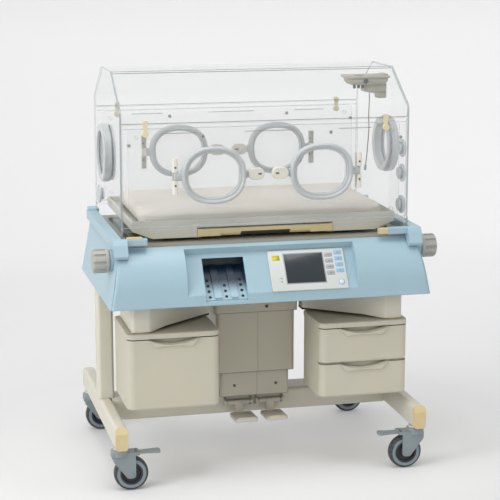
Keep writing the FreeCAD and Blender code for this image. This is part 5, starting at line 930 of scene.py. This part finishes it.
# %% [markdown]
# The mattress is foam in a smooth pale cover, slightly creased. It is inflated as
# cloth: the solid is remeshed, shrunk, pressed outwards from inside for some frames,
# and its movement is capped so that it stays in the tray. It reaches its solid's
# height, and ends about 9 mm inside it at the sides.

# %% Mattress
PUFF_CAP = 0.006
VOXEL = 0.006


def cover_fabric():
    """A smooth wipe-clean cover: a fine weave as bump, long soft creases, and faint staining."""
    finish = Finish("mattress_cover")
    weave = finish.add("ShaderNodeTexWave", {"bands_direction": "X"},
                       {"Vector": finish.place, "Scale": 420.0, "Distortion": 1.5})
    creases = finish.noise(9, 3, (0.5, 1.6, 1))
    stain = finish.noise(6, 2)
    pale = finish.mix((stain - 0.45).larger(0.0) * 1.6, rgb(214, 208, 198), rgb(196, 185, 168))
    height = weave * 0.12 + creases
    bump = finish.add("ShaderNodeBump", {}, {"Height": height, "Strength": 0.35, "Distance": 0.004})
    finish.set(Base_Color=pale, Roughness=0.72 + (weave - 0.5) * 0.08, Normal=bump)
    finish.shader.inputs["Sheen Weight"].default_value = 0.15
    return finish


def puffed(source, name):
    """Copy a solid, remesh it, and blow it up as cloth by no more than the cap."""
    solid = nodes[source]
    mesh = solid.data.copy()
    obj = bpy.data.objects.new(name, mesh)
    bpy.context.scene.collection.objects.link(obj)
    remesh = obj.modifiers.new("even", "REMESH")
    remesh.mode = "VOXEL"
    remesh.voxel_size = VOXEL
    bpy.context.view_layer.update()
    even = bpy.data.meshes.new_from_object(obj.evaluated_get(bpy.context.evaluated_depsgraph_get()))
    obj.modifiers.clear()
    obj.data = even
    count = len(even.vertices)
    start = np.empty(count * 3)
    even.vertices.foreach_get("co", start)
    start = start.reshape(-1, 3)
    middle = (start.min(0) + start.max(0)) / 2
    size = start.max(0) - start.min(0)
    shrunk = middle + (start - middle) * (1 - 2 * PUFF_CAP / size)
    even.vertices.foreach_set("co", shrunk.ravel())
    floor_z = shrunk[:, 2].min()
    cloth = obj.modifiers.new("fill", "CLOTH")
    cloth.settings.use_pressure = True
    cloth.settings.uniform_pressure_force = 4.0
    cloth.settings.effector_weights.gravity = 0.0
    cloth.settings.quality = 5
    for step in range(1, 15):
        bpy.context.scene.frame_set(step)
    blown = bpy.data.meshes.new_from_object(obj.evaluated_get(bpy.context.evaluated_depsgraph_get()))
    obj.modifiers.clear()
    moved = np.empty(count * 3)
    blown.vertices.foreach_get("co", moved)
    shift = moved.reshape(-1, 3) - shrunk
    length = np.maximum(np.linalg.norm(shift, axis=1, keepdims=True), 1e-9)
    shift *= np.minimum(1, PUFF_CAP / length)
    result = shrunk + shift
    result[:, 2] = np.maximum(result[:, 2], floor_z - 0.004)
    even.vertices.foreach_set("co", result.ravel())
    bpy.context.scene.frame_set(1)
    even.polygons.foreach_set("use_smooth", [True] * len(even.polygons))
    return obj


mattress = puffed("mattress", "mattress_pad")
mattress.data.materials.clear()
mattress.data.materials.append(cover_fabric().material)
smooth = mattress.modifiers.new("finer", "SUBSURF")
smooth.levels = 1
smooth.render_levels = 1
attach(mattress, "bed")
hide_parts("mattress")
print("mattress", len(mattress.data.vertices), "points")

# %% [markdown]
# One thin lead hangs from the module's socket, free at its lower end, where it carries
# a small probe. It is a smooth spline whose control points are the solid's route.

# %% Sensor lead
LEAD_ROUTE = [(0.4120, 0.0800, 1.100), (0.4120, 0.0800, 1.064), (0.4095, 0.0785, 1.026), (0.4125, 0.0810, 0.985),
              (0.4100, 0.0825, 0.940), (0.4065, 0.0810, 0.898), (0.4035, 0.0830, 0.869)]
LEAD_RADIUS = 0.0018

lead_finish = moulded("lead_sleeve", rgb(150, 148, 136), rough=0.5)
curve = bpy.data.curves.new("sensor_lead_line", "CURVE")
curve.dimensions = "3D"
spline = curve.splines.new("NURBS")
spline.points.add(len(LEAD_ROUTE) - 1)
for point, place in zip(spline.points, LEAD_ROUTE):
    point.co = (*place, 1.0)
spline.order_u = 3
spline.use_endpoint_u = True
curve.bevel_depth = LEAD_RADIUS
curve.use_fill_caps = True
curve.materials.append(lead_finish.material)
lead = bpy.data.objects.new("sensor_lead_line", curve)
bpy.context.scene.collection.objects.link(lead)
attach(lead, "hood")
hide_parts("sensor_lead")
probe_finish = moulded("probe_steel", rgb(190, 192, 192), rough=0.25)
probe_finish.shader.inputs["Metallic"].default_value = 0.9
dress(probe_finish, "sensor_probe")

# %% [markdown]
# The room is a plain pale sweep: a floor that curves up into a wall, so that no
# horizon shows. A camera behind the wall looks through it. The photograph's
# perspective gives the camera's place.

# %% Floor, light and camera
FLOOR_HALF = 7.0
SWEEP_START = 2.6
SWEEP_RADIUS = 1.6
WALL_HEIGHT = 6.0
BLACK = (0.0, 0.0, 0.0)
# The paper's painted light, a glow: a little under the object to lift its shadow, more with depth and to the right,
# less with height.
UNDER_REACH = 0.95
UNDER_GAIN = 0.30
UNDER_MOST = 0.22
DEEP_START = 0.5
DEEP_GAIN = 0.075
DEEP_MOST = 0.26
ACROSS_START = 1.0
ACROSS_GAIN = 0.055
HEIGHT_LOSS = 0.16


def sweep_profile():
    """(y, z) from the front of the floor, round a quarter circle, up the wall."""
    turn = np.linspace(0, math.pi / 2, 17)
    y = np.concatenate([[-FLOOR_HALF], SWEEP_START + SWEEP_RADIUS * np.sin(turn), [SWEEP_START + SWEEP_RADIUS]])
    z = np.concatenate([[0], SWEEP_RADIUS * (1 - np.cos(turn)), [WALL_HEIGHT]])
    return y, z


sweep_y, sweep_z = sweep_profile()
strip = np.array([[(x, y, z) for y, z in zip(sweep_y, sweep_z)] for x in (-FLOOR_HALF, FLOOR_HALF)])
columns = len(sweep_y)
sweep_mesh = bpy.data.meshes.new("sweep")
sweep_mesh.from_pydata(strip.reshape(-1, 3).tolist(), [],
                       [(index, columns + index, columns + index + 1, index + 1) for index in range(columns - 1)])
sweep_mesh.polygons.foreach_set("use_smooth", [True] * len(sweep_mesh.polygons))
sweep = bpy.data.objects.new("sweep", sweep_mesh)
bpy.context.scene.collection.objects.link(sweep)
paper = Finish("paper")
across, deep, height = paper.axes()
rise = height.larger(0.0).smaller(1.0)
under = ((UNDER_REACH - (across ** 2 + deep ** 2) ** 0.5) * UNDER_GAIN).larger(0.0).smaller(UNDER_MOST)
painted_glow = ((deep + DEEP_START) * DEEP_GAIN).smaller(DEEP_MOST) + (across - ACROSS_START) * ACROSS_GAIN
painted_glow = painted_glow - height * HEIGHT_LOSS + under
rays = [paper.add("ShaderNodeLightPath", {}, {}, kind) for kind in ("Is Camera Ray", "Is Glossy Ray",
                                                                  "Is Transmission Ray")]
seen = rays[0].larger(rays[1]).larger(rays[2])
behind = paper.add("ShaderNodeNewGeometry", {}, {}, "Backfacing")
paper.set(Base_Color=paper.mix(rise, rgb(220, 220, 220), rgb(240, 240, 240)), Roughness=0.85,
          Alpha=1 - behind * rays[0])
# Painted light: the glow is emission that only camera and reflection rays see.
paper.feed(paper.shader.inputs["Emission Color"], paper.mix(seen * painted_glow.larger(0.0), BLACK, rgb(236, 236, 236)))
paper.shader.inputs["Emission Strength"].default_value = 1.0
sweep_mesh.materials.append(paper.material)

world = bpy.data.worlds.new("studio")
bpy.context.scene.world = world
world.use_nodes = True
world.node_tree.nodes["Background"].inputs["Color"].default_value = (1, 1, 1, 1)
world.node_tree.nodes["Background"].inputs["Strength"].default_value = 0.62


def area_light(name, place, target, size, power):
    lamp = bpy.data.lights.new(name, "AREA")
    lamp.shape = "RECTANGLE"
    lamp.size = size[0]
    lamp.size_y = size[1]
    lamp.energy = power
    obj = bpy.data.objects.new(name, lamp)
    bpy.context.scene.collection.objects.link(obj)
    obj.location = place
    obj.rotation_euler = (Vector(target) - Vector(place)).to_track_quat("-Z", "Y").to_euler()


area_light("overhead", (-0.6, -0.8, 4.2), (0, 0, 0.6), (3.0, 2.4), 82)
area_light("front_left", (-4.4, -2.0, 2.2), (0, 0, 0.7), (2.2, 2.2), 104)
area_light("right_fill", (3.8, -2.6, 2.0), (0, 0, 0.6), (2.4, 2.4), 20)

CAMERA_PLACE = Vector((-1.12217, -4.66439, 1.60153))
CAMERA_TARGET = Vector((0.0091, 0.0, 0.6306))
CAMERA_LENS = 114.81
CLEAR_LAYERS = 40
camera_data = bpy.data.cameras.new("camera")
camera_data.lens = CAMERA_LENS
camera_data.sensor_width = 36.0
camera = bpy.data.objects.new("camera", camera_data)
bpy.context.scene.collection.objects.link(camera)
camera.location = CAMERA_PLACE
camera.rotation_euler = (CAMERA_TARGET - CAMERA_PLACE).to_track_quat("-Z", "Y").to_euler()
bpy.context.scene.camera = camera
bpy.context.scene.view_settings.view_transform = "Standard"
bpy.context.scene.cycles.transparent_max_bounces = CLEAR_LAYERS
